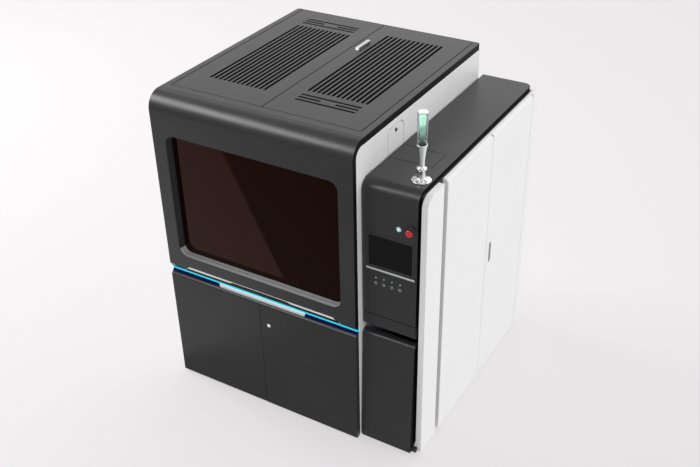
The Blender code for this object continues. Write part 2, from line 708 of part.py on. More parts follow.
def make_fascia():
    face = ANNEX_SETBACK
    outside = face - BEYOND
    fascia = piece("annex_fascia", prism(fascia_outline(), 0, HOOD_LEFT, HOOD_RIGHT), "black_paint")
    left = HOOD_LEFT + SCREEN_LEFT
    right = left + SCREEN_WIDTH
    top = SCREEN_BOTTOM + SCREEN_HEIGHT
    pocket = face + 0.010
    cut(fascia, box((left, outside, SCREEN_BOTTOM), (right, pocket, top)))
    piece("touch_screen", box((left + GAP, face - 0.001, SCREEN_BOTTOM + GAP),
                              (right - GAP, pocket - GAP, top - GAP)), "screen_glass")

    bottom = face + BUTTON_DEPTH
    stop = bottom - BUTTON_SPACE
    for index, centre in enumerate(button_centres()):
        cut(fascia, rod(BUTTON_RADIUS + FIT, outside, bottom, 1, centre, 16))
        button = rod(BUTTON_RADIUS, face - BUTTON_PROUD, stop, 1, centre, 16)
        piece("panel_button_%d" % (index + 1), button, "dark_plastic", pivot=(centre[0], face, centre[1]),
              smooth=True)
    power = (HOOD_LEFT + POWER_X, POWER_Z)
    cut(fascia, rod(POWER_RADIUS + FIT, outside, bottom, 1, power, 20))
    piece("power_button", rod(POWER_RADIUS, face - POWER_PROUD, stop, 1, power, 20),
          "pale_plastic", pivot=(power[0], face, power[1]), smooth=True)


def make_emergency_stop():
    """Fixed collar, a stem that pushes in, and a mushroom head that twists on it."""
    face = ANNEX_SETBACK
    centre = (HOOD_LEFT + ESTOP_X, face, ESTOP_Z)
    flat = (centre[0], centre[2])
    foot = ESTOP_COLLAR - 0.003
    lip = COLLAR_HEIGHT - 0.004
    collar = turned(
        ((0.0, GAP), (ESTOP_COLLAR, GAP), (ESTOP_COLLAR, lip), (foot, COLLAR_HEIGHT),
         (0.0, COLLAR_HEIGHT)), centre, 1)
    made = piece("estop_collar", collar, "dark_plastic", smooth=True)
    stem_end = face - COLLAR_HEIGHT + 0.001
    bore_end = face - 0.003
    cut(made, rod(ESTOP_STEM + FIT, face - 0.020, bore_end, 1, flat))
    piece("estop_stem", rod(ESTOP_STEM, face - STEM_LENGTH, stem_end, 1, flat), "dark_plastic",
          pivot=centre, smooth=True)
    low = STEM_LENGTH + GAP
    neck = ESTOP_STEM + 0.002
    head = turned(
        ((0.0, low), (neck, low), (neck + 0.002, low + 0.0037), (ESTOP_RADIUS, low + 0.0057),
         (ESTOP_RADIUS, low + 0.0117), (ESTOP_RADIUS - 0.004, low + 0.0157), (0.0, low + 0.0177)),
        centre, 1)
    piece("estop_head", head, "red_plastic", pivot=centre, smooth=True)


def make_drawer():
    face = ANNEX_SETBACK
    low = DRAWER_TOP - DRAWER_HEIGHT
    edge = 0.022
    outline = [(face, DRAWER_TOP), (face, low + edge)]
    outline += arc((face + edge, low + edge), edge, 180, 250, 4)
    outline += [(FASCIA_BACK, low), (FASCIA_BACK, DRAWER_TOP)]
    drawer = piece("keyboard_drawer", prism(outline, 0, HOOD_LEFT, HOOD_RIGHT), "black_paint")
    left, right = HOOD_LEFT + TRAY_INSET, HOOD_RIGHT - TRAY_INSET
    back = face + TRAY_LENGTH
    inside = FASCIA_BACK - 0.004
    tray_low = low + 0.004
    tray_top = low + TRAY_WALL
    sink = 0.001                # the walls start a little way into the tray's floor
    weld(drawer, box((left, inside, tray_low), (right, back, tray_low + TRAY_SHEET)))
    weld(drawer, box((left, inside, tray_low + sink), (left + TRAY_SHEET, back, tray_top)))
    weld(drawer, box((right - TRAY_SHEET, inside, tray_low + sink), (right, back, tray_top)))
    weld(drawer, box((left, back - TRAY_SHEET, tray_low + 1.5 * sink), (right, back, tray_top - sink / 2)))
    floor = tray_low + TRAY_SHEET + GAP
    side = 0.010
    front, rear = face + 0.060, face + 0.200
    inset = 0.006
    keys = KEYBOARD_HEIGHT + 0.005
    board = piece("keyboard", box((left + side, front, floor), (right - side, rear, floor + KEYBOARD_HEIGHT)),
                  "dark_plastic")
    weld(board, box((left + side + inset, front + inset, floor + KEYBOARD_HEIGHT - 0.002),
                    (right - side - inset, rear - inset, floor + keys)))


def make_annex_door():
    """Lower annex door, which leans out to its foot and hides the plinth behind it."""
    low = KICK_HEIGHT + SEAM / 2
    round_edge = 0.028
    top = LOWER_ANNEX_TOP - 0.003
    lip_back = KICK_FRONT - SEAM
    outline = [(LOWER_ANNEX_FOOT, SKIRT)]
    outline += arc((LOWER_ANNEX_FACE + round_edge, top - round_edge), round_edge, 180, 100, 5)
    outline += [(FASCIA_BACK, LOWER_ANNEX_TOP), (FASCIA_BACK, low), (lip_back, low), (lip_back, SKIRT)]
    piece("annex_lower_door", prism(outline, 0, HOOD_LEFT, HOOD_RIGHT), "black_paint",
          pivot=(HOOD_RIGHT, LOWER_ANNEX_FOOT, 0.0))
    end = SIDE_IN + KICK_UNDER_COLUMN
    back = COLUMN_FRONT - OVERLAP
    plinth = piece("annex_plinth", box((HOOD_LEFT, KICK_FRONT, SKIRT), (end, back, KICK_HEIGHT)),
                   "black_paint")
    weld(plinth, box((HOOD_LEFT, back - 0.003, SKIRT), (HOOD_RIGHT, FASCIA_BACK, KICK_HEIGHT)))


# Annex roof, sides and back ---------------------------------------------

def make_annex_roof():
    start = ANNEX_SETBACK + HOOD_BEND + GAP
    corner = 0.050
    outline = [(HOOD_LEFT, start), (HOOD_RIGHT, start)]
    outline += arc((HOOD_RIGHT - corner, OVERALL_DEPTH - corner), corner, 0, 90, 6)
    outline += [(HOOD_LEFT, OVERALL_DEPTH)]
    roof = piece("annex_roof", prism(outline, 2, ANNEX_HEIGHT - HOOD_BAND, ANNEX_HEIGHT), "black_paint")
    depth = ANNEX_HEIGHT - GROOVE_DEPTH
    high = ANNEX_HEIGHT + BEYOND
    left, right = HOOD_LEFT - BEYOND, HOOD_LEFT + GROOVE_REACH
    front, back = GROOVE_FRONT, GROOVE_BACK
    cut(roof, box((left, front, depth), (right, front + GROOVE, high)))
    cut(roof, box((left, back - GROOVE, depth), (right, back, high)))
    cut(roof, box((right - GROOVE, front + OVERLAP, depth), (right, back - OVERLAP, high)))


def make_corner_column():
    """White column behind the hood's right edge, bent over like the hood."""
    bend = HOOD_BEND
    outline = [(COLUMN_FRONT, SKIRT)]
    outline += arc((COLUMN_FRONT + bend, SIDE_TOP - bend), bend, 180, 90)
    outline += [(COLUMN_BACK, SIDE_TOP), (COLUMN_BACK, SKIRT)]
    piece("corner_column", prism(outline, 0, SIDE_IN, OVERALL_WIDTH), "white_paint")


def leaf_outline():
    """Section of a side door, with a slanted top edge."""
    return [(SIDE_IN, SKIRT), (OVERALL_WIDTH, SKIRT), (OVERALL_WIDTH, SIDE_TOP - 0.018),
            (OVERALL_WIDTH - 0.015, SIDE_TOP), (SIDE_IN, SIDE_TOP)]


def make_side_doors():
    piece("side_door_front", prism(leaf_outline(), 1, LEAF_FRONT, LEAF_SPLIT - LEAF_SEAM / 2), "white_paint",
          pivot=(OVERALL_WIDTH, LEAF_FRONT, 0.0))
    rear = piece("side_door_rear", prism(leaf_outline(), 1, LEAF_SPLIT + LEAF_SEAM / 2, LEAF_BACK),
                 "white_paint", pivot=(OVERALL_WIDTH, LEAF_BACK, 0.0))
    front = LEAF_SPLIT + HANDLE_SET
    back = front + HANDLE_WIDTH
    top = HANDLE_BOTTOM + HANDLE_HEIGHT
    cut(rear, box((OVERALL_WIDTH - HANDLE_POCKET, front, HANDLE_BOTTOM), (OVERALL_WIDTH + BEYOND, back, top)))
    clear = 0.0015
    inner = OVERALL_WIDTH - HANDLE_POCKET / 2
    low = HANDLE_BOTTOM + clear
    lever_top = top - FINGER_NOTCH
    outline = [(inner, low), (OVERALL_WIDTH, low + 0.004), (OVERALL_WIDTH, lever_top - 0.006),
               (inner, lever_top)]
    piece("side_handle", prism(outline, 1, front + clear, back - clear), "dark_plastic",
          pivot=(OVERALL_WIDTH, (front + back) / 2, HANDLE_BOTTOM + HANDLE_PIVOT))


def make_side_frame():
    """Posts and rails that the side doors close on."""
    left = HOOD_RIGHT + GAP
    right = SIDE_IN - SEAM / 2
    front, back = FASCIA_BACK + SEAM, LEAF_BACK + 0.060
    low, high = SKIRT + 0.010, ANNEX_HEIGHT - HOOD_BAND + 0.011
    rail = 0.060
    seat = 0.010                # how far each leaf closes over its post
    frame = piece("annex_side_frame", box((left, front, low), (right, back, high)), "grey_frame")
    cut(frame, box((left - BEYOND, LEAF_FRONT + seat, low + rail),
                   (right + BEYOND, LEAF_BACK - seat, high - rail)))


def make_annex_back():
    """Rear panel folded round both ends; its right end is the white rear corner."""
    corner = 0.045
    left_inner = HOOD_LEFT + 0.003
    sheet_front = OVERALL_DEPTH - REAR_SHEET
    flange = MAIN_DEPTH + 0.004
    outline = [(HOOD_LEFT, flange), (left_inner, flange), (left_inner, sheet_front),
               (SIDE_IN, sheet_front), (SIDE_IN, LEAF_BACK + SEAM), (OVERALL_WIDTH, LEAF_BACK + SEAM)]
    outline += arc((OVERALL_WIDTH - corner, OVERALL_DEPTH - corner), corner, 0, 90, 6)
    outline += [(HOOD_LEFT, OVERALL_DEPTH)]
    back = piece("annex_rear_panel", prism(outline, 2, SKIRT, SIDE_TOP), "white_paint")
    cut(back, box((HOOD_LEFT - BEYOND, MAIN_DEPTH, ANNEX_HEIGHT - HOOD_BAND - GAP),
                  (SIDE_IN - OVERLAP, OVERALL_DEPTH + BEYOND, SIDE_TOP + BEYOND)))
    left, low = HOOD_LEFT + INLET_X, INLET_Z
    right, high = left + INLET_SIZE, low + INLET_SIZE
    cut(back, box((left, sheet_front - BEYOND, low), (right, OVERALL_DEPTH + BEYOND, high)))
    made = piece("power_inlet", box((left + GAP, sheet_front - 0.020, low + GAP),
                                    (right - GAP, OVERALL_DEPTH - 0.001, high - GAP)), "dark_plastic")
    wall = 0.012
    cut(made, box((left + wall, OVERALL_DEPTH - 0.016, low + wall),
                  (right - wall, OVERALL_DEPTH + BEYOND, high - wall)))


def make_signal_light():
    centre = (HOOD_LEFT + SIGNAL_X, SIGNAL_Y, ANNEX_HEIGHT)
    lens_low = SIGNAL_HEIGHT - LENS_HEIGHT
    stand = turned(
        ((0.0, GAP), (0.056, GAP), (0.056, 0.005), (0.050, 0.010), (0.030, 0.014), (0.023, 0.020),
         (0.023, 0.062), (0.029, 0.068), (0.029, 0.076), (0.018, 0.086), (0.0135, 0.100),
         (0.0135, 0.125), (0.018, 0.165), (0.025, lens_low - 0.012), (0.027, lens_low - 0.010),
         (0.027, lens_low - GAP), (0.0, lens_low - GAP)), centre)
    piece("signal_stand", stand, "chrome", smooth=True)
    narrow = LENS_RADIUS - 0.003
    lens = turned(
        ((0.0, lens_low), (narrow, lens_low), (LENS_RADIUS, SIGNAL_HEIGHT - 0.008),
         (narrow, SIGNAL_HEIGHT), (0.0, SIGNAL_HEIGHT)), centre)
    piece("signal_lens", lens, "lens_green", smooth=True)


# Inside -----------------------------------------------------------------

def make_vat():
    """The steel vat, hanging from its rim; the rim is also the resin's level."""
    left, right = VAT_LEFT, VAT_LEFT + VAT_WIDTH
    front, back = VAT_FRONT, VAT_BACK
    bottom = RIM - VAT_DEPTH
    vat = piece("resin_vat", box((left, front, bottom), (right, back, RIM)), "steel")
    weld(vat, box((left - VAT_EDGE, front - VAT_EDGE, DECK_HEIGHT + GAP),
                  (right + VAT_EDGE, back + VAT_EDGE, RIM)))
    cut(vat, box((left + VAT_WALL, front + VAT_WALL, bottom + VAT_WALL),
                 (right - VAT_WALL, back - VAT_WALL, RIM + BEYOND)))


def make_deck():
    """Steel deck that the vat hangs in, with the recoater's two rails."""
    edge = PANEL + GAP
    front = POST_FRONT + POST + OVERLAP
    deck = piece("deck_plate", box((edge, front, DECK_HEIGHT - DECK_THICKNESS),
                                   (MAIN_WIDTH - edge, DECK_BACK, DECK_HEIGHT)), "steel")
    clear = 0.002
    cut(deck, box((VAT_LEFT - clear, VAT_FRONT - clear, DECK_HEIGHT - DECK_THICKNESS - BEYOND),
                  (VAT_LEFT + VAT_WIDTH + clear, VAT_BACK + clear, DECK_HEIGHT + BEYOND)))
    end = 0.010
    for x in rail_places():
        weld(deck, box((x - RAIL_WIDTH / 2, front + end, DECK_HEIGHT - 2 * OVERLAP),
                       (x + RAIL_WIDTH / 2, DECK_BACK - end, RAIL_TOP)))


def rail_places():
    return (VAT_LEFT - RAIL_OUT, VAT_LEFT + VAT_WIDTH + RAIL_OUT)


def make_recoater():
    """Blade carrier on two feet that run on the deck's rails, parked at the front."""
    front = VAT_FRONT + 0.030
    back = front + RECOATER_DEPTH
    left, right = rail_places()
    low = DECK_HEIGHT + RECOATER_LIFT
    foot = RAIL_WIDTH / 2 + 0.003
    recoater = piece("recoater", box((left - foot - OVERLAP, front, low),
                                     (right + foot + OVERLAP, back, low + RECOATER_HEIGHT)), "anodised")
    joined = low + 0.010
    for x in (left, right):
        weld(recoater, box((x - foot, front + OVERLAP, RAIL_TOP + GAP), (x + foot, back - OVERLAP, joined)))
    blade = PLATFORM / 2 + 0.020
    thickness = 0.020
    middle = (front + back) / 2
    weld(recoater, box((MID_X - blade, middle - thickness / 2, RIM + 0.001),
                       (MID_X + blade, middle + thickness / 2, joined)))


def make_platform(low, top):
    left = MID_X - PLATFORM / 2
    plate = box((left, PLATFORM_FRONT, low), (left + PLATFORM, PLATFORM_FRONT + PLATFORM, top))
    platform = piece("build_platform", plate, "steel")
    holes = bmesh.new()
    radius = PLATFORM_HOLE / 2
    pitch = PLATFORM / PLATFORM_HOLES
    for row in range(PLATFORM_HOLES):
        for column in range(PLATFORM_HOLES):
            centre = (left + (column + 0.5) * pitch, PLATFORM_FRONT + (row + 0.5) * pitch, top)
            bmesh.ops.create_cone(
                holes, cap_ends=True, segments=6, radius1=radius, radius2=radius,
                depth=4 * PLATFORM_THICKNESS, matrix=Matrix.Translation(centre))
    cut(platform, holes)


def make_elevator():
    """Platform, its carriage with two hanging arms, and the fixed column behind the vat."""
    top = RIM - 0.009
    low = top - PLATFORM_THICKNESS
    make_platform(low, top)

    carriage_low = RIM + CARRIAGE_LOW
    carriage_back = CARRIAGE_FRONT + CARRIAGE_PLATE
    carriage = piece("elevator_carriage", box(
        (MID_X - CARRIAGE_WIDTH / 2, CARRIAGE_FRONT, carriage_low),
        (MID_X + CARRIAGE_WIDTH / 2, carriage_back, carriage_low + CARRIAGE_HEIGHT)), "anodised")
    hang_back = VAT_BACK - 0.075
    hang_front = hang_back - 0.025
    arm_low, arm_high = carriage_low + 0.050, carriage_low + 0.090
    fork_low = low - 0.018
    half = ARM_WIDTH / 2
    hair = 0.0001               # welded arms differ by this much so that no two faces coincide
    for x in (MID_X - ARM_SPREAD / 2, MID_X + ARM_SPREAD / 2):
        weld(carriage, box((x - half, hang_back - OVERLAP, arm_low),
                           (x + half, CARRIAGE_FRONT + OVERLAP, arm_high)))
        weld(carriage, box((x - half - hair, hang_front, fork_low), (x + half + hair, hang_back,
                                                                    arm_high + OVERLAP)))
        weld(carriage, box((x - half + hair, PLATFORM_FRONT + 0.020, fork_low + hair),
                           (x + half - hair, hang_front + OVERLAP, low - GAP)))

    column_front = carriage_back + 0.032
    inside = column_front + OVERLAP
    column_top = BENCH_HEIGHT - BENCH_THICKNESS - 0.0005
    column = piece("z_column", box((MID_X - COLUMN_WIDTH / 2, column_front, BASE_TOP + GAP),
                                   (MID_X + COLUMN_WIDTH / 2, column_front + COLUMN_THICKNESS, column_top)),
                   "grey_frame")
    guide = 0.030
    for x in (MID_X - 0.210, MID_X + 0.210):
        weld(column, box((x - guide / 2, carriage_back + 0.0015, RIM + 0.025),
                         (x + guide / 2, inside, column_top - 0.0045)))
    screw_y = carriage_back + 0.016
    screw_low = RIM + 0.040
    piece("z_screw", rod(SCREW_RADIUS, screw_low, column_top - 0.040, 2, (MID_X, screw_y), 12), "steel",
          smooth=True)
    bearing = 0.060
    weld(column, box((MID_X - bearing / 2, screw_y - SCREW_RADIUS, screw_low - 0.090),
                     (MID_X + bearing / 2, inside, screw_low - GAP)))


def make_optics():
    """Bench over the bay with the laser's opening, the scanner above it and the laser beside it."""
    edge = PANEL + 2 * GAP
    back = MAIN_DEPTH - PANEL - SEAM - POST - SEAM
    bench = piece("optics_bench", box((edge, LID_FRONT, BENCH_HEIGHT - BENCH_THICKNESS),
                                      (MAIN_WIDTH - edge, back, BENCH_HEIGHT)), "anodised")
    beam = (MID_X, PLATFORM_FRONT + PLATFORM / 2)
    cut(bench, rod(BEAM_OPENING, BENCH_HEIGHT - BENCH_THICKNESS - BEYOND, BENCH_HEIGHT + BEYOND, 2, beam, 16))
    low = BENCH_HEIGHT + GAP
    width, length, height = SCANNER
    scanner = piece("scanner_head", box((beam[0] - width / 2, beam[1] - length / 2, low),
                                        (beam[0] + width / 2, beam[1] + length / 2, low + height)), "anodised")
    cut(scanner, rod(SCANNER_LENS, low - BEYOND, low + 0.020, 2, beam, 16))
    width, length, height = LASER
    left = beam[0] - 0.420
    front = beam[1] - 0.060
    laser = piece("laser_head", box((left, front, low), (left + width, front + length, low + height)),
                  "dark_plastic")
    tube = 0.020
    weld(laser, box((left + width - 0.020, beam[1] - tube, low + 0.030),
                    (beam[0] - SCANNER[0] / 2 - OVERLAP, beam[1] + tube, low + 0.070)))


def make_controls():
    """Mounting plate inside the annex with its computer, power supplies and drives."""
    left = HOOD_LEFT + 0.012
    face = left + 0.004
    made = piece("control_modules", box((left, CONTROL_FRONT, CONTROL_LOW), (face, CONTROL_BACK, CONTROL_TOP)),
                 "dark_plastic")
    for low, high, start, stop, depth in CONTROLS:
        weld(made, box((face - OVERLAP, start, low), (face + depth, stop, high)))


def main():
    clear_scene()
    make_base()
    make_frame()
    make_side_panels()
    make_side_hatch()
    make_roof_rails()
    make_roof_lids()
    make_lid_handle()
    make_window_door()
    make_waist()
    make_lower_doors()
    make_fascia()
    make_emergency_stop()
    make_drawer()
    make_annex_door()
    make_annex_roof()
    make_corner_column()
    make_side_doors()
    make_side_frame()
    make_annex_back()
    make_signal_light()
    make_vat()
    make_deck()
    make_recoater()
    make_elevator()
    make_optics()
    make_controls()


main()
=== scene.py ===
import math

import bmesh
import bpy
from mathutils import Matrix, Vector


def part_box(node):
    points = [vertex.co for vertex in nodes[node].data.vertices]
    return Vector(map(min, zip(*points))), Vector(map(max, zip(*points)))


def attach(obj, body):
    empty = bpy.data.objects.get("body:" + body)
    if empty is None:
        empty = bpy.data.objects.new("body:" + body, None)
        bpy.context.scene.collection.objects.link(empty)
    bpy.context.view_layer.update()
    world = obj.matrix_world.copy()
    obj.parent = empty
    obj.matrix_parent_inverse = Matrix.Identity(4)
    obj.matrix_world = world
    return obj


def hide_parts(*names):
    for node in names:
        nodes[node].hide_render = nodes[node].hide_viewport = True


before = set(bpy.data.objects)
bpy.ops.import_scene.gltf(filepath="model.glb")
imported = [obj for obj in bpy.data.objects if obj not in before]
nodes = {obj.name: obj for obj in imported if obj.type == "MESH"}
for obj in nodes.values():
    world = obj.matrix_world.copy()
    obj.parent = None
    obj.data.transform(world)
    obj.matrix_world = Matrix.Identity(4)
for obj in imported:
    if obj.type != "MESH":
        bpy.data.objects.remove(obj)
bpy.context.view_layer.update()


# Studio: a pale painted floor that runs out past the view, and a sky of soft light with a
# bright ring above the horizon, a dark ceiling and a dark band below the horizon.
def from_hex(text):
    """An sRGB hex colour as linear red, green, blue and alpha."""
    values = [int(text[i:i + 2], 16) / 255 for i in (1, 3, 5)]
    linear = [v / 12.92 if v <= 0.04045 else ((v + 0.055) / 1.055) ** 2.4 for v in values]
    return (*linear, 1.0)


def add_node(tree, kind, inputs=None, **settings):
    """Add one shader node; an input is a value or another node's output socket."""
    made = tree.nodes.new("ShaderNode" + kind)
    for name, value in settings.items():
        setattr(made, name, value)
    for name, value in (inputs or {}).items():
        if isinstance(value, bpy.types.NodeSocket):
            tree.links.new(value, made.inputs[name])
        else:
            made.inputs[name].default_value = value
    return made


def new_material(name):
    """A new Principled material, its tree and its shader."""
    made = bpy.data.materials.new(name)
    made.use_nodes = True
    return made, made.node_tree, made.node_tree.nodes["Principled BSDF"]


floor_shape = bmesh.new()
bmesh.ops.create_grid(floor_shape, x_segments=1, y_segments=1, size=30.0)
floor_mesh = bpy.data.meshes.new("studio_floor")
floor_shape.to_mesh(floor_mesh)
floor_shape.free()
studio_floor = bpy.data.objects.new("studio_floor", floor_mesh)
bpy.context.scene.collection.objects.link(studio_floor)
floor_paint, floor_tree, floor_shader = new_material("matt_floor_paint")
floor_shader.inputs["Base Color"].default_value = from_hex("#959394")
floor_shader.inputs["Roughness"].default_value = 0.9
floor_shader.inputs["Specular IOR Level"].default_value = 0.0
floor_shader.inputs["Emission Color"].default_value = from_hex("#f3f1f2")
floor_shader.inputs["Emission Strength"].default_value = 0.60
floor_mesh.materials.append(floor_paint)
studio_floor.visible_glossy = False

sky = bpy.data.worlds.new("studio_sky")
bpy.context.scene.world = sky
sky.use_nodes = True
sky_tree = sky.node_tree
sky_place = add_node(sky_tree, "TexCoord")
sky_axes = add_node(sky_tree, "SeparateXYZ", {0: sky_place.outputs["Generated"]})
sky_height = add_node(sky_tree, "MapRange", {0: sky_axes.outputs["Z"], 1: -1.0, 2: 1.0})
sky_ring = add_node(sky_tree, "ValToRGB", {0: sky_height.outputs[0]})
ring = sky_ring.color_ramp
for spot, level in ((0.0, 0.50), (0.44, 0.55), (0.50, 0.70), (0.56, 0.84), (0.72, 0.88), (0.80, 0.98),
                    (0.87, 0.98), (0.925, 0.16), (1.0, 0.10)):
    stop = ring.elements.new(spot)
    stop.color = (level, level, level, 1.0)
ring.elements.remove(ring.elements[0])
ring.elements.remove(ring.elements[-1])
sky_side = add_node(sky_tree, "MapRange", {0: sky_axes.outputs["X"], 1: -1.0, 2: 1.0, 3: 0.62, 4: 1.50})
sky_back = add_node(sky_tree, "MapRange", {0: sky_axes.outputs["Y"], 1: -1.0, 2: 1.0, 3: 0.40, 4: 1.26})
sky_level = add_node(sky_tree, "Math", {0: sky_side.outputs[0], 1: sky_back.outputs[0]}, operation="MULTIPLY")
sky_strength = add_node(sky_tree, "Math", {0: sky_level.outputs[0], 1: 1.26}, operation="MULTIPLY")
sky_light = sky_tree.nodes["Background"]
sky_tree.links.new(sky_ring.outputs[0], sky_light.inputs["Color"])
sky_tree.links.new(sky_strength.outputs[0], sky_light.inputs["Strength"])


def soft_box(name, place, target, size, power, colour="#ffffff"):
    """A studio light panel that faces the target."""
    lamp = bpy.data.lights.new(name, "AREA")
    lamp.shape = "RECTANGLE"
    lamp.size, lamp.size_y = size
    lamp.energy = power
    lamp.color = from_hex(colour)[:3]
    made = bpy.data.objects.new(name, lamp)
    made.location = place
    aim = Vector(target) - Vector(place)
    made.rotation_euler = aim.to_track_quat("-Z", "Y").to_euler()
    made.visible_camera = False
    bpy.context.scene.collection.objects.link(made)
    return made


# One panel only shows as the long highlight on the bends, one only as the slanting reflection
# in the window, and the key panel at the left only lights the paint and throws the shadow.
bend_light = soft_box("bend_light", (-3.6, -3.6, 5.6), (-0.2, -0.8, 2.0), (5.0, 2.0), 330.0)
bend_light.visible_diffuse = False
key_light = soft_box("key_light", (-9.0, -0.3, 7.2), (0.0, 0.0, 0.6), (3.6, 3.6), 680.0)
key_light.visible_glossy = False
window_light = soft_box("window_light", (-3.13, -1.78, 0.05), (-3.13, -1.78, 3.0), (3.2, 4.4), 24.0)
window_light.visible_diffuse = False
window_light.rotation_euler = (math.pi, 0.0, math.atan2(1.578, 1.823) - math.pi / 2)

camera_data = bpy.data.cameras.new("camera")
camera_data.lens = 49.93
camera_data.sensor_width = 36.0
camera_data.clip_end = 100.0
camera = bpy.data.objects.new("camera", camera_data)
yaw, pitch, roll = math.radians(31.0635), math.radians(32.7082), math.radians(-1.15616)
camera.matrix_world = (
    Matrix.Translation((2.79649, -4.71005, 4.45178))
    @ Matrix.Rotation(yaw, 4, "Z") @ Matrix.Rotation(math.pi / 2 - pitch, 4, "X")
    @ Matrix.Rotation(roll, 4, "Z"))
bpy.context.scene.collection.objects.link(camera)
bpy.context.scene.camera = camera
bpy.context.scene.view_settings.view_transform = "Standard"


# Skin of the cabinet: folded steel sheet, degreased and powder coated. The coat melts into a
# faint orange peel, with a satin sheen that varies slightly from one sheet to the next.
def powder_coat(name, colour, deep, roughness, gloss, peel_mm, lift):
    """Baked powder coat: cloudy sheen, fine peel and specks, and a tone that drifts in the clouds."""
    made, tree, shader = new_material(name)
    place = add_node(tree, "TexCoord").outputs["Object"]
    clouds = add_node(tree, "TexNoise", {"Vector": place, "Scale": 1 / 0.35, "Detail": 4.0, "Roughness": 0.6})
    peel = add_node(tree, "TexNoise", {"Vector": place, "Scale": 1000.0 / peel_mm, "Detail": 2.0})
    grit = add_node(tree, "TexVoronoi", {"Vector": place, "Scale": 1000.0 / (peel_mm * 0.6)})
    tone = add_node(tree, "Mix", {0: clouds.outputs[0], 6: from_hex(deep), 7: from_hex(colour)}, data_type="RGBA")
    speck = add_node(tree, "MapRange", {0: grit.outputs["Distance"], 1: 0.0, 2: 0.9, 3: 1.05, 4: 0.93})
    tinted = add_node(tree, "Mix", {0: 1.0, 6: tone.outputs[2], 7: speck.outputs[0]},
                      data_type="RGBA", blend_type="MULTIPLY")
    sheen = add_node(tree, "MapRange", {0: clouds.outputs[0], 1: 0.25, 2: 0.75,
                                        3: roughness - 0.04, 4: roughness + 0.05})
    bump = add_node(tree, "Bump", {"Strength": lift, "Distance": 0.0002, "Height": peel.outputs[0]})
    tree.links.new(tinted.outputs[2], shader.inputs["Base Color"])
    tree.links.new(sheen.outputs[0], shader.inputs["Roughness"])
    tree.links.new(bump.outputs[0], shader.inputs["Normal"])
    shader.inputs["IOR"].default_value = 1.5
    shader.inputs["Specular IOR Level"].default_value = gloss
    return made, tree, shader, place


def dress(material, edge, *names):
    """Finish CAD nodes and roll their sharp edges over by the radius of a folded sheet."""
    for name in names:
        node = nodes[name]
        node.data.materials.clear()
        node.data.materials.append(material)
        for face in node.data.polygons:
            face.use_smooth = True
        if node.data.has_custom_normals:
            node.data.attributes.remove(node.data.attributes["custom_normal"])
        weld = node.modifiers.new("weld", "WELD")
        weld.merge_threshold = 0.00002
        roll_over = node.modifiers.new("edge", "BEVEL")
        roll_over.width = edge
        roll_over.segments = 2
        roll_over.limit_method = "ANGLE"
        roll_over.angle_limit = math.radians(28)
        roll_over.miter_outer = "MITER_ARC"
        level = node.modifiers.new("flats", "WEIGHTED_NORMAL")
        level.keep_sharp = False


# The peel is drawn at 6 mm, twice the real wave, so that it shows at this distance.
black_coat = powder_coat("black_powder_coated_steel", "#39393b", "#303031", 0.34, 0.36, 6.0, 0.10)[0]
white_coat = powder_coat("white_powder_coated_steel", "#f0f0f0", "#eaeaeb", 0.42, 0.40, 6.0, 0.08)[0]
dress(black_coat, 0.0012, "roof_rails", "roof_lid_left", "roof_lid_right", "annex_roof")
dress(black_coat, 0.004, "window_surround")
dress(black_coat, 0.002, "upper_door_shell", "annex_fascia", "keyboard_drawer",
      "annex_lower_door", "annex_plinth")
dress(white_coat, 0.003, "side_panel_left", "side_panel_right", "rear_panel", "side_hatch",
      "corner_column", "side_door_front", "side_door_rear", "annex_rear_panel")

# Faces that face the annex side (+X) get a matt black paint, which is painted shade on that side, and the up-facing
# faces of the window recess get a pale grey paint, which is a painted highlight along its bottom ledge.
def paint_faces(name, material, faces_chosen):
    """Give the chosen faces of a CAD node a second material."""
    mesh = nodes[name].data
    mesh.materials.append(material)
    for face in mesh.polygons:
        if faces_chosen(face.normal):
            face.material_index = 1


# Matt black on the faces that face +X: painted shade on that side.
painted_shade_black = powder_coat("matt_black_painted_shade", "#101011", "#0b0b0c", 0.6, 0.12, 6.0, 0.10)[0]
for name in ("roof_rails", "roof_lid_left", "roof_lid_right", "upper_door_shell", "annex_fascia", "annex_roof",
             "annex_lower_door"):
    paint_faces(name, painted_shade_black, lambda normal: normal.x > 0.9)
# Pale grey on the up-facing faces of the window recess: a painted highlight on its bottom ledge.
ledge_highlight_paint = powder_coat("pale_grey_painted_highlight", "#bcbcbe", "#b2b2b4", 0.40, 0.40, 6.0, 0.06)[0]
paint_faces("window_surround", ledge_highlight_paint, lambda normal: normal.z > 0.35)

# The lower doors have the same coat, with a band painted by height along their sloping top that fades out over the
# rolled edge:
# darker and without sheen as painted shade under the light strip, and glowing deep blue as painted light from the
# strip.
painted_glow_coat, painted_glow_tree, painted_glow_shader, painted_glow_place = powder_coat(
    "black_powder_coat_painted_strip_glow_and_shade", "#39393b", "#303031", 0.34, 0.36, 6.0, 0.10)
painted_band_height = add_node(painted_glow_tree, "SeparateXYZ", {0: painted_glow_place})
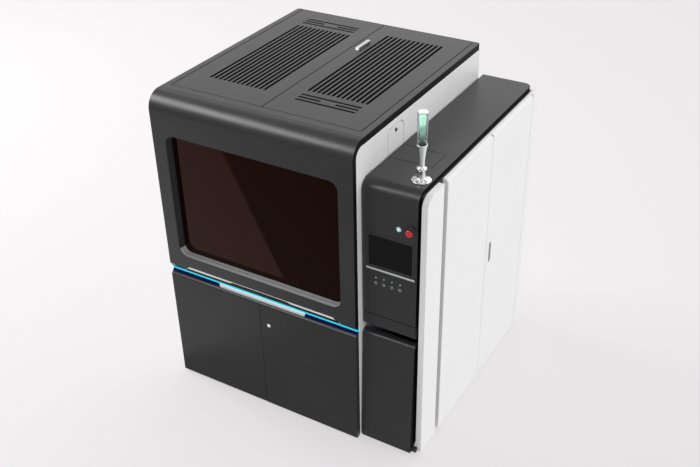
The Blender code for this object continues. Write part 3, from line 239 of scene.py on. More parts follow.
# Height mask of the painted band: painted shade and painted blue glow from the light strip.
painted_band_mask = add_node(painted_glow_tree, "MapRange", {0: painted_band_height.outputs["Z"], 1: 0.834, 2: 0.839, 3: 0.0, 4: 1.0})
coat_colour = painted_glow_shader.inputs["Base Color"].links[0].from_socket
painted_shade_colour = add_node(painted_glow_tree, "Mix", {0: painted_band_mask.outputs[0], 6: coat_colour, 7: from_hex("#05070f")},
                        data_type="RGBA")
painted_shade_gloss = add_node(painted_glow_tree, "MapRange", {0: painted_band_mask.outputs[0], 3: 0.22, 4: 0.0})
painted_glow_shader.inputs["Emission Color"].default_value = from_hex("#080f38")
painted_glow_tree.links.new(painted_shade_colour.outputs[2], painted_glow_shader.inputs["Base Color"])
painted_glow_tree.links.new(painted_shade_gloss.outputs[0], painted_glow_shader.inputs["Specular IOR Level"])
painted_glow_tree.links.new(painted_band_mask.outputs[0], painted_glow_shader.inputs["Emission Strength"])
dress(painted_glow_coat, 0.002, "lower_door_left", "lower_door_right")

# Frame and base: welded square tube and thick plate in a dull grey wet paint, seen only with
# the doors open.
grey_frame = powder_coat("grey_frame_paint", "#3e3e40", "#38383a", 0.55, 0.30, 8.0, 0.15)[0]
dress(grey_frame, 0.002, "base_plate", "annex_base_plate", "front_frame", "annex_side_frame", "z_column")


# Bare metal: the lid handle is satin aluminium, the bay is brushed stainless steel,
# and the optics parts are anodised aluminium. The brush lines run along each piece.
def brushed_metal(name, colour, roughness, stretch, strength, metallic=1.0):
    """Metal with brush lines; stretch is how many times finer they are along each axis."""
    made, tree, shader = new_material(name)
    place = add_node(tree, "TexCoord")
    lines = add_node(tree, "Mapping", {"Vector": place.outputs["Object"], "Scale": stretch})
    brush = add_node(tree, "TexNoise", {"Vector": lines.outputs[0], "Scale": 1.0, "Detail": 3.0})
    rough = add_node(tree, "MapRange", {0: brush.outputs[0], 1: 0.3, 2: 0.7, 3: roughness - 0.06,
                                        4: roughness + 0.08})
    shade = add_node(tree, "MapRange", {0: brush.outputs[0], 1: 0.3, 2: 0.7, 3: 1.04, 4: 0.90})
    tone = add_node(tree, "Mix", {0: 1.0, 6: from_hex(colour), 7: shade.outputs[0]},
                    data_type="RGBA", blend_type="MULTIPLY")
    bump = add_node(tree, "Bump", {"Strength": strength, "Distance": 0.0001, "Height": brush.outputs[0]})
    tree.links.new(tone.outputs[2], shader.inputs["Base Color"])
    tree.links.new(rough.outputs[0], shader.inputs["Roughness"])
    tree.links.new(bump.outputs[0], shader.inputs["Normal"])
    shader.inputs["Metallic"].default_value = metallic
    return made


satin_aluminium = brushed_metal("satin_aluminium", "#dcdad8", 0.38, (6.0, 700.0, 700.0), 0.2)
silver_lacquer = brushed_metal("silver_lacquered_steel", "#f6f5f4", 0.42, (6.0, 500.0, 500.0), 0.1, 0.0)
# The grip liner under the light strip is white lacquer with a faint emission: painted light from the strip, since the
# liner is no lamp.
painted_glow_lacquer, painted_glow_lacquer_tree, painted_glow_lacquer_shader, _ = powder_coat(
    "white_lacquer_painted_glow", "#f4f6f6", "#ececee", 0.45, 0.30, 6.0, 0.04)
painted_glow_lacquer_shader.inputs["Emission Color"].default_value = from_hex("#eef4f5")
painted_glow_lacquer_shader.inputs["Emission Strength"].default_value = 0.38
dress(painted_glow_lacquer, 0.001, "lower_grip_liner")
stainless = brushed_metal("brushed_stainless_steel", "#b4b4b6", 0.36, (8.0, 400.0, 400.0), 0.2)
anodised = brushed_metal("clear_anodised_aluminium", "#8b8c90", 0.42, (300.0, 8.0, 300.0), 0.15)
black_anodised = brushed_metal("black_anodised_aluminium", "#1c1c1e", 0.5, (200.0, 8.0, 200.0), 0.15)
dress(satin_aluminium, 0.001, "lid_handle")
dress(silver_lacquer, 0.001, "upper_grip")
dress(stainless, 0.001, "deck_plate", "resin_vat", "z_screw",
      "foot_front_left", "foot_front_right", "foot_rear_left", "foot_rear_right")
dress(anodised, 0.0012, "elevator_carriage", "recoater")
dress(black_anodised, 0.0012, "optics_bench", "scanner_head")


# Moulded ABS and PBT: buttons, collar, latch, inlet and the controls. A fine spark-eroded
# grain from the mould makes it matt.
def moulded_plastic(name, colour, roughness, grain_mm, lift):
    """Injection moulded plastic with the mould's grain and a faint flow tone."""
    made, tree, shader = new_material(name)
    place = add_node(tree, "TexCoord").outputs["Object"]
    grain = add_node(tree, "TexNoise", {"Vector": place, "Scale": 1000.0 / grain_mm, "Detail": 3.0})
    flow = add_node(tree, "TexNoise", {"Vector": place, "Scale": 25.0, "Detail": 1.0})
    tone = add_node(tree, "MapRange", {0: flow.outputs[0], 1: 0.3, 2: 0.7, 3: 0.92, 4: 1.08})
    base = add_node(tree, "Mix", {0: 1.0, 6: from_hex(colour), 7: tone.outputs[0]},
                    data_type="RGBA", blend_type="MULTIPLY")
    rough = add_node(tree, "MapRange", {0: grain.outputs[0], 1: 0.3, 2: 0.7, 3: roughness - 0.05,
                                        4: roughness + 0.06})
    bump = add_node(tree, "Bump", {"Strength": lift, "Distance": 0.0001, "Height": grain.outputs[0]})
    tree.links.new(base.outputs[2], shader.inputs["Base Color"])
    tree.links.new(rough.outputs[0], shader.inputs["Roughness"])
    tree.links.new(bump.outputs[0], shader.inputs["Normal"])
    return made


dark_abs = moulded_plastic("dark_abs", "#2c2c2e", 0.5, 1.2, 0.3)
grey_abs = moulded_plastic("grey_abs", "#77787b", 0.5, 1.2, 0.3)
pale_abs = moulded_plastic("pale_grey_abs", "#c9cacc", 0.45, 1.2, 0.2)
red_pbt = moulded_plastic("red_pbt", "#d42028", 0.34, 1.0, 0.1)
mark_abs = moulded_plastic("mid_grey_abs", "#c6c7c9", 0.45, 1.2, 0.2)
rubber = moulded_plastic("black_epdm_rubber", "#101011", 0.62, 0.8, 0.2)
dress(dark_abs, 0.0006, "hatch_latch", "power_inlet", "keyboard", "estop_collar",
      "estop_stem", "panel_button_1", "panel_button_2", "panel_button_3", "panel_button_4")
dress(grey_abs, 0.0006, "side_handle")
dress(dark_abs, 0.002, "control_modules", "laser_head")
dress(red_pbt, 0.0008, "estop_head")


def make_piece(name, shape, material, body, smooth_angle=35.0):
    """Finish a bmesh as a piece of the machine that rides on a CAD body."""
    bmesh.ops.remove_doubles(shape, verts=shape.verts, dist=1e-6)
    bmesh.ops.recalc_face_normals(shape, faces=shape.faces)
    mesh = bpy.data.meshes.new(name)
    shape.to_mesh(mesh)
    shape.free()
    mesh.materials.append(material)
    mesh.shade_smooth()
    mesh.set_sharp_from_angle(angle=math.radians(smooth_angle))
    made = bpy.data.objects.new(name, mesh)
    bpy.context.scene.collection.objects.link(made)
    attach(made, body)
    return made


def add_block(shape, low, high, edge=0.0, segments=2):
    """Add a block between two corners, with its edges rounded."""
    size = Vector(high) - Vector(low)
    place = Matrix.Translation((Vector(high) + Vector(low)) / 2) @ Matrix.Diagonal((*size, 1.0))
    made = bmesh.ops.create_cube(shape, size=1.0, matrix=place)["verts"]
    if edge:
        lines = list({line for corner in made for line in corner.link_edges})
        bmesh.ops.bevel(shape, geom=lines, offset=edge, offset_type="OFFSET", segments=segments,
                        profile=0.5, affect="EDGES", material=-1, clamp_overlap=True)


def add_turned(shape, profile, place, steps=32):
    """Spin a profile of (radius, height) points about Z and put it in place by a matrix."""
    start = len(shape.verts)
    chain = [shape.verts.new((radius, 0.0, height)) for radius, height in profile]
    lines = [shape.edges.new(pair) for pair in zip(chain, chain[1:])]
    bmesh.ops.spin(shape, geom=chain + lines, axis=(0, 0, 1), cent=(0, 0, 0), dvec=(0, 0, 0),
                          angle=2 * math.pi, steps=steps, use_merge=True)
    shape.verts.ensure_lookup_table()
    bmesh.ops.transform(shape, matrix=place, verts=shape.verts[start:])


# Window: one sheet of red-brown acrylic that stops the laser's colour, polished on the front,
# pressed into the recess against a black rubber gasket.
def clear_sheet(name, colour, streak, streak_scale, gloss, tint_of_gloss):
    """Polished dark sheet with faint, wide streaks in its tint and a trace of dust."""
    made, tree, shader = new_material(name)
    place = add_node(tree, "TexCoord").outputs["Object"]
    wave = add_node(tree, "TexNoise", {"Vector": place, "Scale": streak_scale, "Detail": 2.0})
    dust = add_node(tree, "TexNoise", {"Vector": place, "Scale": 40.0, "Detail": 6.0, "Roughness": 0.7})
    tint = add_node(tree, "Mix", {0: wave.outputs[0], 6: from_hex(colour), 7: from_hex(streak)}, data_type="RGBA")
    rough = add_node(tree, "MapRange", {0: dust.outputs[0], 1: 0.35, 2: 0.75, 3: 0.02, 4: 0.05})
    tree.links.new(tint.outputs[2], shader.inputs["Base Color"])
    tree.links.new(rough.outputs[0], shader.inputs["Roughness"])
    shader.inputs["IOR"].default_value = 1.49
    shader.inputs["Specular IOR Level"].default_value = gloss
    shader.inputs["Specular Tint"].default_value = from_hex(tint_of_gloss)
    return made


tinted_acrylic = clear_sheet("tinted_acrylic", "#0e0503", "#150705", 1.2, 0.24, "#ff8c66")
dress(tinted_acrylic, 0.0008, "window_glass")
glass_low, glass_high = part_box("window_glass")
gasket_width = 0.002
gasket_shape = bmesh.new()
bmesh.ops.create_grid(
    gasket_shape, x_segments=1, y_segments=1, size=0.5,
    matrix=Matrix.Translation(((glass_low.x + glass_high.x) / 2, glass_low.y - 0.0002,
                               (glass_low.z + glass_high.z) / 2))
    @ Matrix.Rotation(math.pi / 2, 4, "X")
    @ Matrix.Diagonal((glass_high.x - glass_low.x, glass_high.z - glass_low.z, 1.0, 1.0)))
bmesh.ops.bevel(gasket_shape, geom=gasket_shape.verts[:], offset=0.0535, segments=8, profile=0.5,
                affect="VERTICES", material=-1)
gasket_ring = bmesh.ops.inset_region(gasket_shape, faces=gasket_shape.faces[:], thickness=gasket_width,
                                     use_even_offset=True, use_boundary=True)["faces"]
bmesh.ops.delete(gasket_shape, geom=[face for face in gasket_shape.faces if face not in gasket_ring],
                 context="FACES")
gasket_rise = bmesh.ops.extrude_face_region(gasket_shape, geom=gasket_shape.faces[:])["geom"]
bmesh.ops.translate(gasket_shape, vec=(0.0, -0.0035, 0.0),
                    verts=[corner for corner in gasket_rise if isinstance(corner, bmesh.types.BMVert)])
make_piece("window_gasket", gasket_shape, rubber, "window_door")


# Finger pad: black rubber glued along the lower part of the scoop's bright lining, higher in
# the middle, where the fingers pull.
lining_low, lining_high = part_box("upper_grip")
pad_middle = (lining_low.x + lining_high.x) / 2
pad_half = (lining_high.x - lining_low.x) / 2
pad_shape = bmesh.new()
pad_line = [(pad_half - 0.004, 0.0004), (pad_half - 0.022, 0.0150), (0.230, 0.0165), (0.200, 0.0250)]
pad_corners = [pad_shape.verts.new((pad_middle + side * x, lining_low.y + 0.0002, lining_low.z + z))
               for side, line in ((1, pad_line), (-1, pad_line[::-1])) for x, z in line]
pad_face = pad_shape.faces.new(pad_corners)
pad_front = bmesh.ops.extrude_face_region(pad_shape, geom=[pad_face])["geom"]
bmesh.ops.translate(pad_shape, vec=(0.0, -0.0012, 0.0),
                    verts=[corner for corner in pad_front if isinstance(corner, bmesh.types.BMVert)])
make_piece("finger_pad", pad_shape, rubber, "window_door")


# Light strip: an opal polycarbonate channel over a row of cyan diodes 16 mm apart, which
# glow through as slightly brighter spots.
strip_glow, strip_tree, strip_shader = new_material("lit_opal_polycarbonate")
strip_place = add_node(strip_tree, "TexCoord").outputs["Object"]
strip_axes = add_node(strip_tree, "SeparateXYZ", {0: strip_place})
diode_phase = add_node(strip_tree, "Math", {0: strip_axes.outputs["X"], 1: 2 * math.pi / 0.016},
                       operation="MULTIPLY")
diode_wave = add_node(strip_tree, "Math", {0: diode_phase.outputs[0]}, operation="SINE")
diode_spot = add_node(strip_tree, "MapRange", {0: diode_wave.outputs[0], 1: -1.0, 2: 1.0, 3: 0.88, 4: 1.04})
strip_shader.inputs["Base Color"].default_value = from_hex("#0b4450")
strip_shader.inputs["Roughness"].default_value = 0.5
strip_shader.inputs["Emission Color"].default_value = from_hex("#1edcf6")
strip_tree.links.new(diode_spot.outputs[0], strip_shader.inputs["Emission Strength"])
dress(strip_glow, 0.0015, "light_strip")


# Screen: cover glass with a black printed border over the display, which is off, and a satin
# trim bar glued to the fascia under it.
screen_glass = clear_sheet("screen_cover_glass", "#08080a", "#0e0e10", 6.0, 0.25, "#ffffff")
dress(screen_glass, 0.0015, "touch_screen")
screen_low, screen_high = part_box("touch_screen")
fascia_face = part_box("annex_fascia")[0].y
border_shape = bmesh.new()
border = 0.013
frame_depth = 0.0012
for low_x, high_x, low_z, high_z in (
        (screen_low.x, screen_high.x, screen_low.z, screen_low.z + border),
        (screen_low.x, screen_high.x, screen_high.z - border, screen_high.z),
        (screen_low.x, screen_low.x + border, screen_low.z + border, screen_high.z - border),
        (screen_high.x - border, screen_high.x, screen_low.z + border, screen_high.z - border)):
    add_block(border_shape, (low_x, screen_low.y - frame_depth, low_z),
              (high_x, screen_low.y + 0.0004, high_z), 0.0004, 1)
make_piece("screen_border", border_shape, dark_abs, "cabinet")
trim_shape = bmesh.new()
add_block(trim_shape, (screen_low.x - 0.003, fascia_face - 0.004, screen_low.z - 0.019),
          (screen_high.x + 0.003, fascia_face + 0.0005, screen_low.z - 0.007), 0.0015, 3)
make_piece("screen_trim_bar", trim_shape, mark_abs, "cabinet")


# Console controls: four black push buttons with raised grey rings, a mint status lamp over
# each, and an illuminated power button in a chrome bezel. All snap into the fascia.
def glowing_plastic(name, colour, strength, middle, reach):
    """Translucent polycarbonate lit from behind, brightest at its middle."""
    made, tree, shader = new_material(name)
    place = add_node(tree, "TexCoord").outputs["Object"]
    offset = add_node(tree, "VectorMath", {0: place, 1: middle}, operation="DISTANCE")
    glow = add_node(tree, "MapRange", {0: offset.outputs["Value"], 1: 0.0, 2: reach, 3: strength,
                                       4: strength * 0.45})
    mottle = add_node(tree, "TexNoise", {"Vector": place, "Scale": 300.0, "Detail": 2.0})
    tone = add_node(tree, "Mix", {0: mottle.outputs[0], 6: from_hex(colour), 7: from_hex("#eef6f4")},
                    data_type="RGBA")
    tree.links.new(tone.outputs[2], shader.inputs["Base Color"])
    tree.links.new(glow.outputs[0], shader.inputs["Emission Strength"])
    shader.inputs["Emission Color"].default_value = from_hex(colour)
    shader.inputs["Roughness"].default_value = 0.3
    return made


to_front = Matrix.Rotation(math.pi / 2, 4, "X")
for number in range(1, 5):
    low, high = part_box("panel_button_%d" % number)
    middle = Vector(((low.x + high.x) / 2, low.y, (low.z + high.z) / 2))
    icon_shape = bmesh.new()
    add_turned(icon_shape, ((0.0078, -0.0002), (0.0078, 0.0006), (0.0098, 0.0006), (0.0098, -0.0002),
                            (0.0078, -0.0002)), Matrix.Translation(middle) @ to_front, 24)
    add_turned(icon_shape, ((0.0, 0.0006), (0.0018, 0.0006), (0.0018, -0.0002), (0.0, -0.0002)),
               Matrix.Translation(middle) @ to_front, 12)
    make_piece("button_mark_%d" % number, icon_shape, mark_abs, "key_%d" % number)
    lamp_at = Vector((middle.x, fascia_face, middle.z + 0.036))
    lamp_shape = bmesh.new()
    add_turned(lamp_shape, ((0.0, 0.0022), (0.0016, 0.0019), (0.0028, 0.0012), (0.0032, -0.0005), (0.0, -0.0005)),
               Matrix.Translation(lamp_at) @ to_front, 20)
    lamp_glow = glowing_plastic("lit_mint_polycarbonate_%d" % number, "#b4dccd", 0.55, lamp_at, 0.006)
    make_piece("status_lamp_%d" % number, lamp_shape, lamp_glow, "cabinet")

power_low, power_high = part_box("power_button")
power_at = Vector(((power_low.x + power_high.x) / 2, fascia_face, (power_low.z + power_high.z) / 2))
power_cap = glowing_plastic("lit_blue_polycarbonate", "#6fc3e6", 0.40, power_at, 0.014)
dress(power_cap, 0.0005, "power_button")
symbol_glow = glowing_plastic("lit_cream_polycarbonate", "#fff6cf", 0.60, power_at, 0.008)
symbol_shape = bmesh.new()
symbol_at = Vector((power_at.x, power_low.y, power_at.z))
add_turned(symbol_shape, ((0.0, 0.0008), (0.0046, 0.0008), (0.0052, 0.0003), (0.0052, -0.0003), (0.0, -0.0003)),
           Matrix.Translation(symbol_at) @ to_front, 24)
make_piece("power_symbol", symbol_shape, symbol_glow, "power_key")


# Chrome plate: the power button's bezel and the signal light's stand, turned in brass,
# polished and plated. Faint turning marks keep it from being a perfect mirror.
def plated_metal(name, colour, roughness):
    """Plated metal with faint turning marks, drawn at 3 mm where the real ones are finer."""
    made, tree, shader = new_material(name)
    place = add_node(tree, "TexCoord").outputs["Object"]
    marks = add_node(tree, "TexNoise", {"Vector": place, "Scale": 330.0, "Detail": 2.0})
    rough = add_node(tree, "MapRange", {0: marks.outputs[0], 1: 0.3, 2: 0.7, 3: roughness, 4: roughness + 0.06})
    tone = add_node(tree, "Mix", {0: marks.outputs[0], 6: from_hex(colour), 7: from_hex("#f4f4f5")},
                    data_type="RGBA")
    tree.links.new(tone.outputs[2], shader.inputs["Base Color"])
    tree.links.new(rough.outputs[0], shader.inputs["Roughness"])
    shader.inputs["Metallic"].default_value = 1.0
    return made


chrome = plated_metal("chrome_plate", "#e2e2e4", 0.10)
dress(chrome, 0.001, "door_lock")
bezel_shape = bmesh.new()
add_turned(bezel_shape, ((0.0143, -0.0004), (0.0143, 0.0022), (0.0148, 0.0030), (0.0162, 0.0024),
                         (0.0168, -0.0004), (0.0143, -0.0004)), Matrix.Translation(power_at) @ to_front, 40)
make_piece("power_bezel", bezel_shape, chrome, "cabinet")

stand_low, stand_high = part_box("signal_stand")
light_at = Vector(((stand_low.x + stand_high.x) / 2, (stand_low.y + stand_high.y) / 2, stand_low.z))
stand_top = stand_high.z - stand_low.z
stand_shape = bmesh.new()
add_turned(stand_shape, (
    (0.0, 0.0), (0.0555, 0.0), (0.056, 0.0006), (0.056, 0.0044), (0.0552, 0.0055), (0.050, 0.0085),
    (0.0485, 0.0100), (0.0330, 0.0120), (0.0300, 0.0140), (0.0245, 0.0170), (0.0230, 0.0200),
    (0.0230, 0.0600), (0.0240, 0.0625), (0.0280, 0.0655), (0.0290, 0.0675), (0.0290, 0.0750),
    (0.0278, 0.0770), (0.0200, 0.0800), (0.0168, 0.0830), (0.0156, 0.0880), (0.0160, 0.1080),
    (0.0180, 0.1360), (0.0212, 0.1660), (0.0252, 0.1920), (0.0276, stand_top - 0.012),
    (0.0284, stand_top - 0.010), (0.0286, stand_top - 0.001), (0.0276, stand_top), (0.0, stand_top)),
    Matrix.Translation(light_at), 64)
signal_post = make_piece("signal_post", stand_shape, chrome, "cabinet", 50.0)
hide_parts("signal_stand")


# Signal light: a clear acrylic tube over a mint diffuser with the lamp in it, closed by a
# chrome rim at the top and a black disc at the bottom.
lens_low, lens_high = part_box("signal_lens")
lens_height = lens_high.z - lens_low.z
lens_radius = (lens_high.x - lens_low.x) / 2
lens_at = Matrix.Translation((light_at.x, light_at.y, lens_low.z))
clear_acrylic, clear_tree, clear_shader = new_material("clear_acrylic")
clear_noise = add_node(clear_tree, "TexNoise", {
    "Vector": add_node(clear_tree, "TexCoord").outputs["Object"], "Scale": 60.0, "Detail": 2.0})
clear_rough = add_node(clear_tree, "MapRange", {0: clear_noise.outputs[0], 1: 0.3, 2: 0.7, 3: 0.02, 4: 0.07})
clear_tree.links.new(clear_rough.outputs[0], clear_shader.inputs["Roughness"])
clear_shader.inputs["Base Color"].default_value = from_hex("#e9f7f2")
clear_shader.inputs["Transmission Weight"].default_value = 1.0
clear_shader.inputs["IOR"].default_value = 1.49
tube_shape = bmesh.new()
wall = 0.0025
add_turned(tube_shape, (
    (lens_radius - 0.004, 0.004), (lens_radius - 0.001, 0.006), (lens_radius, lens_height - 0.012),
    (lens_radius - 0.001, lens_height - 0.006), (lens_radius - 0.001 - wall, lens_height - 0.006),
    (lens_radius - wall, lens_height - 0.012), (lens_radius - 0.001 - wall, 0.007),
    (lens_radius - 0.004, 0.004)), lens_at, 48)
signal_tube = make_piece("signal_tube", tube_shape, clear_acrylic, "cabinet", 50.0)
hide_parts("signal_lens")
core_glow, core_tree, core_shader = new_material("mint_opal_acrylic")
core_place = add_node(core_tree, "TexCoord").outputs["Object"]
core_axes = add_node(core_tree, "SeparateXYZ", {0: core_place})
core_cloud = add_node(core_tree, "TexNoise", {"Vector": core_place, "Scale": 22.0, "Detail": 1.0})
core_wave = add_node(core_tree, "MapRange", {0: core_cloud.outputs[0], 1: 0.3, 2: 0.7, 3: -0.02, 4: 0.02})
core_height = add_node(core_tree, "Math", {0: core_axes.outputs["Z"], 1: core_wave.outputs[0]}, operation="ADD")
core_fade = add_node(core_tree, "MapRange", {0: core_height.outputs[0], 1: lens_low.z + 0.02,
                                             2: lens_low.z + 0.13, 3: 0.04, 4: 0.85})
core_tone = add_node(core_tree, "Mix", {0: core_fade.outputs[0], 6: from_hex("#24433c"), 7: from_hex("#bfe9d9")},
                     data_type="RGBA")
core_tree.links.new(core_tone.outputs[2], core_shader.inputs["Base Color"])
core_tree.links.new(core_tone.outputs[2], core_shader.inputs["Emission Color"])
core_tree.links.new(core_fade.outputs[0], core_shader.inputs["Emission Strength"])
core_shader.inputs["Roughness"].default_value = 0.35
core_shape = bmesh.new()
add_turned(core_shape, ((0.0, 0.0045), (0.0110, 0.0045), (0.0125, 0.0070), (0.0190, lens_height - 0.030),
                        (0.0180, lens_height - 0.026), (0.0, lens_height - 0.024)), lens_at, 40)
make_piece("signal_diffuser", core_shape, core_glow, "cabinet", 50.0)
rim_shape = bmesh.new()
add_turned(rim_shape, ((0.0, lens_height - 0.0050), (lens_radius - 0.001, lens_height - 0.0058),
                       (lens_radius - 0.0003, lens_height - 0.0045), (lens_radius - 0.0005, lens_height - 0.0015),
                       (lens_radius - 0.0020, lens_height - 0.0003), (lens_radius - 0.0060, lens_height),
                       (0.0, lens_height - 0.0012)), lens_at, 48)
make_piece("signal_rim", rim_shape, chrome, "cabinet", 50.0)
seat_shape = bmesh.new()
add_turned(seat_shape, ((0.0, 0.0002), (0.0265, 0.0002), (0.0270, 0.0010), (0.0270, 0.0030), (0.0262, 0.0038),
                        (0.0, 0.0038)), lens_at, 48)
make_piece("signal_seat", seat_shape, rubber, "cabinet", 50.0)


# Emergency stop: three raised arrows moulded round the front of the red head.
knob_low, knob_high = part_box("estop_head")
knob_face = Matrix.Translation(((knob_low.x + knob_high.x) / 2, knob_low.y, (knob_low.z + knob_high.z) / 2)) @ to_front
arrow_shape = bmesh.new()
for turn in range(3):
    for bend, low_y, high_y in ((0, 0.0065, 0.0125), (38, 0.0075, 0.0120)):
        start = len(arrow_shape.verts)
        add_block(arrow_shape, (-0.0013, low_y, -0.0004), (0.0013, high_y, 0.0005), 0.0003, 1)
        arrow_shape.verts.ensure_lookup_table()
        bmesh.ops.transform(arrow_shape, verts=arrow_shape.verts[start:],
                            matrix=knob_face @ Matrix.Rotation(math.radians(turn * 120 + bend), 4, "Z"))
pale_red_pbt = moulded_plastic("pale_red_pbt", "#e2686c", 0.34, 1.0, 0.1)
make_piece("estop_arrows", arrow_shape, pale_red_pbt, "estop_knob")


# Leaf seal: a black rubber bulb pressed along the rear edge of the front side door, which
# shows as the dark line between the two doors.
front_leaf_low, front_leaf_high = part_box("side_door_front")
rear_leaf_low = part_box("side_door_rear")[0]
seal_shape = bmesh.new()
add_block(seal_shape, (front_leaf_high.x - 0.012, front_leaf_high.y - 0.0005, front_leaf_low.z + 0.004),
          (front_leaf_high.x - 0.0035, rear_leaf_low.y - 0.0012, front_leaf_high.z - 0.004), 0.0012)
make_piece("leaf_seal", seal_shape, rubber, "side_leaf_front")


# Side handle's well: a white bush pressed into the door's slot, with round ends, and a black
# moulded cup behind the lever.
door_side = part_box("side_door_rear")[1].x
lever_low, lever_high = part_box("side_handle")
well_width, well_height = 0.034, 0.154
well_middle = Vector((door_side - 0.0001, (lever_low.y + lever_high.y) / 2, lever_low.z - 0.0015 + well_height / 2))
bush_shape = bmesh.new()
bmesh.ops.create_circle(bush_shape, cap_ends=False, segments=32, radius=well_width / 2 - 0.0008)
straight = well_height / 2 - well_width / 2
for corner in bush_shape.verts:
    corner.co.x += straight if corner.co.x > 0 else -straight
skirt = bmesh.ops.extrude_edge_only(bush_shape, edges=bush_shape.edges[:])["geom"]
for corner in [item for item in skirt if isinstance(item, bmesh.types.BMVert)]:
    corner.co.x = max(-well_height / 2, min(well_height / 2, corner.co.x * 40))
    corner.co.y = max(-well_width / 2, min(well_width / 2, corner.co.y * 40))
bmesh.ops.remove_doubles(bush_shape, verts=bush_shape.verts, dist=1e-5)
bush_depth = bmesh.ops.extrude_face_region(bush_shape, geom=bush_shape.faces[:])["geom"]
bmesh.ops.translate(bush_shape, vec=(0.0, 0.0, -0.006),
                    verts=[corner for corner in bush_depth if isinstance(corner, bmesh.types.BMVert)])
bmesh.ops.transform(
    bush_shape, verts=bush_shape.verts,
    matrix=Matrix.Translation(well_middle) @ Matrix.Rotation(math.pi / 2, 4, "Y"))
make_piece("handle_bush", bush_shape, white_coat, "side_leaf_rear")
cup_shape = bmesh.new()
add_block(cup_shape, (door_side - 0.0178, well_middle.y - well_width / 2 + 0.0003, well_middle.z - well_height / 2
                      + 0.0003),
          (door_side - 0.0160, well_middle.y + well_width / 2 - 0.0003, well_middle.z + well_height / 2 - 0.0003),
          0.0006)
make_piece("handle_cup", cup_shape, rubber, "side_leaf_rear")


# Build platform: a stainless plate laser cut with rows of drain holes, each 15 mm square with
# clipped corners, so that it sinks through the resin without dragging.
plate_low, plate_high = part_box("build_platform")
holes = 24
cell = (plate_high.x - plate_low.x) / holes
plate_shape = bmesh.new()
bmesh.ops.create_grid(
    plate_shape, x_segments=holes, y_segments=holes, size=0.5,
    matrix=Matrix.Translation(((plate_low.x + plate_high.x) / 2, (plate_low.y + plate_high.y) / 2, plate_low.z))
    @ Matrix.Diagonal((plate_high.x - plate_low.x, plate_high.y - plate_low.y, 1.0, 1.0)))
cells = plate_shape.faces[:]
bmesh.ops.inset_individual(plate_shape, faces=cells, thickness=cell * 0.2, use_even_offset=True)
hole_corners = list({corner for face in cells for corner in face.verts})
bmesh.ops.bevel(plate_shape, geom=hole_corners, offset=cell * 0.16, segments=1, profile=0.5,
                affect="VERTICES", material=-1)
small = [face for face in plate_shape.faces if len(face.verts) == 8]
bmesh.ops.delete(plate_shape, geom=small, context="FACES")
plate_rise = bmesh.ops.extrude_face_region(plate_shape, geom=plate_shape.faces[:])["geom"]
bmesh.ops.translate(plate_shape, vec=(0.0, 0.0, plate_high.z - plate_low.z),
                    verts=[corner for corner in plate_rise if isinstance(corner, bmesh.types.BMVert)])
perforated_plate = make_piece("perforated_plate", plate_shape, stainless, "elevator")
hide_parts("build_platform")


# Lifting screw: the thread rolled on the fixed screw behind the vat.
screw_low, screw_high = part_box("z_screw")
screw_radius = (screw_high.x - screw_low.x) / 2
thread_pitch = 0.010
turns = int((screw_high.z - screw_low.z - 0.02) / thread_pitch)
thread_shape = bmesh.new()
thread_section = ((screw_radius - 0.0004, 0.0), (screw_radius + 0.0016, 0.0022), (screw_radius + 0.0016, 0.0038),
                  (screw_radius - 0.0004, 0.0060))
thread_line = [thread_shape.verts.new((radius, 0.0, height)) for radius, height in thread_section]
thread_face = thread_shape.faces.new(thread_line)
bmesh.ops.spin(thread_shape, geom=thread_line + thread_face.edges[:] + [thread_face], axis=(0, 0, 1),
               cent=(0, 0, 0), dvec=(0, 0, thread_pitch / 14), angle=2 * math.pi * turns, steps=14 * turns)
bmesh.ops.translate(thread_shape, verts=thread_shape.verts, vec=(
    (screw_low.x + screw_high.x) / 2, (screw_low.y + screw_high.y) / 2, screw_low.z + 0.008))
make_piece("screw_thread", thread_shape, stainless, "cabinet")


# Laser and scanner: the laser's black case has a rib heat sink along its top, and the scanner
# has two mirror motors on top.
laser_low, laser_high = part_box("laser_head")
sink_shape = bmesh.new()
rib_pitch = 0.012
for index in range(int((laser_high.y - laser_low.y - 0.04) / rib_pitch)):
    rib = laser_low.y + 0.02 + index * rib_pitch
    add_block(sink_shape, (laser_low.x + 0.012, rib, laser_high.z - 0.0005),
              (laser_low.x + 0.200, rib + 0.004, laser_high.z + 0.016), 0.0006, 1)
make_piece("laser_heat_sink", sink_shape, black_anodised, "cabinet")
scanner_low, scanner_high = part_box("scanner_head")
motor_shape = bmesh.new()
for x in (-0.038, 0.038):
    add_turned(motor_shape, ((0.0, -0.002), (0.026, -0.002), (0.026, 0.018), (0.0245, 0.020), (0.012, 0.020),
                             (0.012, 0.024), (0.0, 0.024)),
               Matrix.Translation(((scanner_low.x + scanner_high.x) / 2 + x,
                                   (scanner_low.y + scanner_high.y) / 2, scanner_high.z)), 32)
make_piece("mirror_motors", motor_shape, anodised, "cabinet")


# Keyboard: five rows of ABS keycaps with sloped sides on the board in the drawer.
board_low, board_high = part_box("keyboard")
key_shape = bmesh.new()
key_rows, key_columns = 5, 14
key_pitch = (board_high.x - board_low.x - 0.016) / key_columns
row_pitch = (board_high.y - board_low.y - 0.024) / key_rows
for row in range(key_rows):
    y = board_low.y + 0.012 + row * row_pitch
    column = 0
    while column < key_columns:
        wide = 6 if row == 0 and column == 4 else (2 if column in (0, 12) and row in (1, 3) else 1)
        x = board_low.x + 0.008 + column * key_pitch
        add_block(key_shape, (x + 0.0012, y + 0.0012, board_high.z - 0.0005),
                  (x + wide * key_pitch - 0.0012, y + row_pitch - 0.0012, board_high.z + 0.0045), 0.0014, 1)
        column += wide
make_piece("keycaps", key_shape, grey_abs, "drawer")


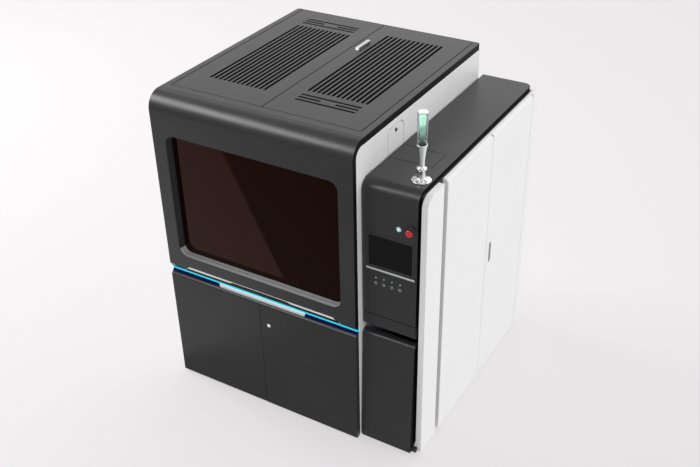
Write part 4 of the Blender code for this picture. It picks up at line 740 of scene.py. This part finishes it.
# Rear panel: pressed louvres in two blocks that let the warm air out, and button-head screws
# round the edge of the sheet.
rear_low, rear_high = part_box("rear_panel")
louvre_shape = bmesh.new()
for block_x in (-0.62, 0.06):
    for index in range(14):
        z = 0.34 + index * 0.032
        start = len(louvre_shape.verts)
        add_block(louvre_shape, (block_x, rear_high.y - 0.001, z), (block_x + 0.32, rear_high.y + 0.009, z + 0.020))
        louvre_shape.verts.ensure_lookup_table()
        for corner in louvre_shape.verts[start:]:
            if corner.co.y > rear_high.y and corner.co.z > z + 0.010:
                corner.co.y = rear_high.y + 0.0006
make_piece("rear_louvres", louvre_shape, white_coat, "cabinet", 20.0)
screw_shape = bmesh.new()
to_back = Matrix.Rotation(-math.pi / 2, 4, "X")
head_profile = ((0.0, 0.0008), (0.0022, 0.0008), (0.0022, 0.0026), (0.0032, 0.0028), (0.0050, 0.0018),
                (0.0056, 0.0), (0.0056, -0.0004), (0.0, -0.0004))
for z in [rear_low.z + 0.03 + 0.333 * step for step in range(7)]:
    for x in (rear_low.x + 0.018, rear_high.x - 0.018):
        add_turned(screw_shape, head_profile, Matrix.Translation((x, rear_high.y, z)) @ to_back, 12)
make_piece("rear_screws", screw_shape, stainless, "cabinet")


# Controls inside the annex: axial fans and terminal rows on the housings, with slotted cable
# duct between them, all clipped to the mounting plate.
controls_low, controls_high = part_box("control_modules")
duct_shape = bmesh.new()
duct_face = controls_low.x + 0.004
for z in (0.575, 1.020):
    add_block(duct_shape, (duct_face - 0.0005, -0.375, z), (duct_face + 0.045, 0.645, z + 0.004))
    add_block(duct_shape, (duct_face - 0.0005, -0.375, z + 0.041), (duct_face + 0.045, 0.645, z + 0.045))
    for index in range(50):
        y = -0.375 + index * 0.0204
        add_block(duct_shape, (duct_face + 0.041, y, z + 0.003), (duct_face + 0.045, y + 0.013, z + 0.042))
make_piece("cable_ducts", duct_shape, grey_abs, "cabinet")
fan_shape = bmesh.new()
facing_out = Matrix.Rotation(math.pi / 2, 4, "Y")
for y, z, out in ((-0.285, 0.38, 0.120), (-0.125, 0.38, 0.120), (-0.28, 1.24, 0.110)):
    hub = Matrix.Translation((duct_face + out, y, z)) @ facing_out
    add_turned(fan_shape, ((0.050, -0.0005), (0.050, 0.006), (0.060, 0.006), (0.060, -0.0005), (0.050, -0.0005)),
               hub, 32)
    add_turned(fan_shape, ((0.0, 0.005), (0.018, 0.005), (0.018, -0.0005), (0.0, -0.0005)), hub, 20)
    for spoke in range(9):
        start = len(fan_shape.verts)
        add_block(fan_shape, (0.016, -0.006, 0.001), (0.0515, 0.006, 0.003))
        fan_shape.verts.ensure_lookup_table()
        bmesh.ops.transform(fan_shape, verts=fan_shape.verts[start:],
                            matrix=hub @ Matrix.Rotation(spoke * 2 * math.pi / 9, 4, "Z")
                            @ Matrix.Rotation(math.radians(18), 4, "X"))
make_piece("cooling_fans", fan_shape, rubber, "cabinet")
terminal_shape = bmesh.new()
for index in range(36):
    y = -0.36 + index * 0.0265
    add_block(terminal_shape, (duct_face + 0.0795, y, 0.66), (duct_face + 0.096, y + 0.022, 0.70), 0.0012, 1)
make_piece("drive_terminals", terminal_shape, pale_abs, "cabinet")
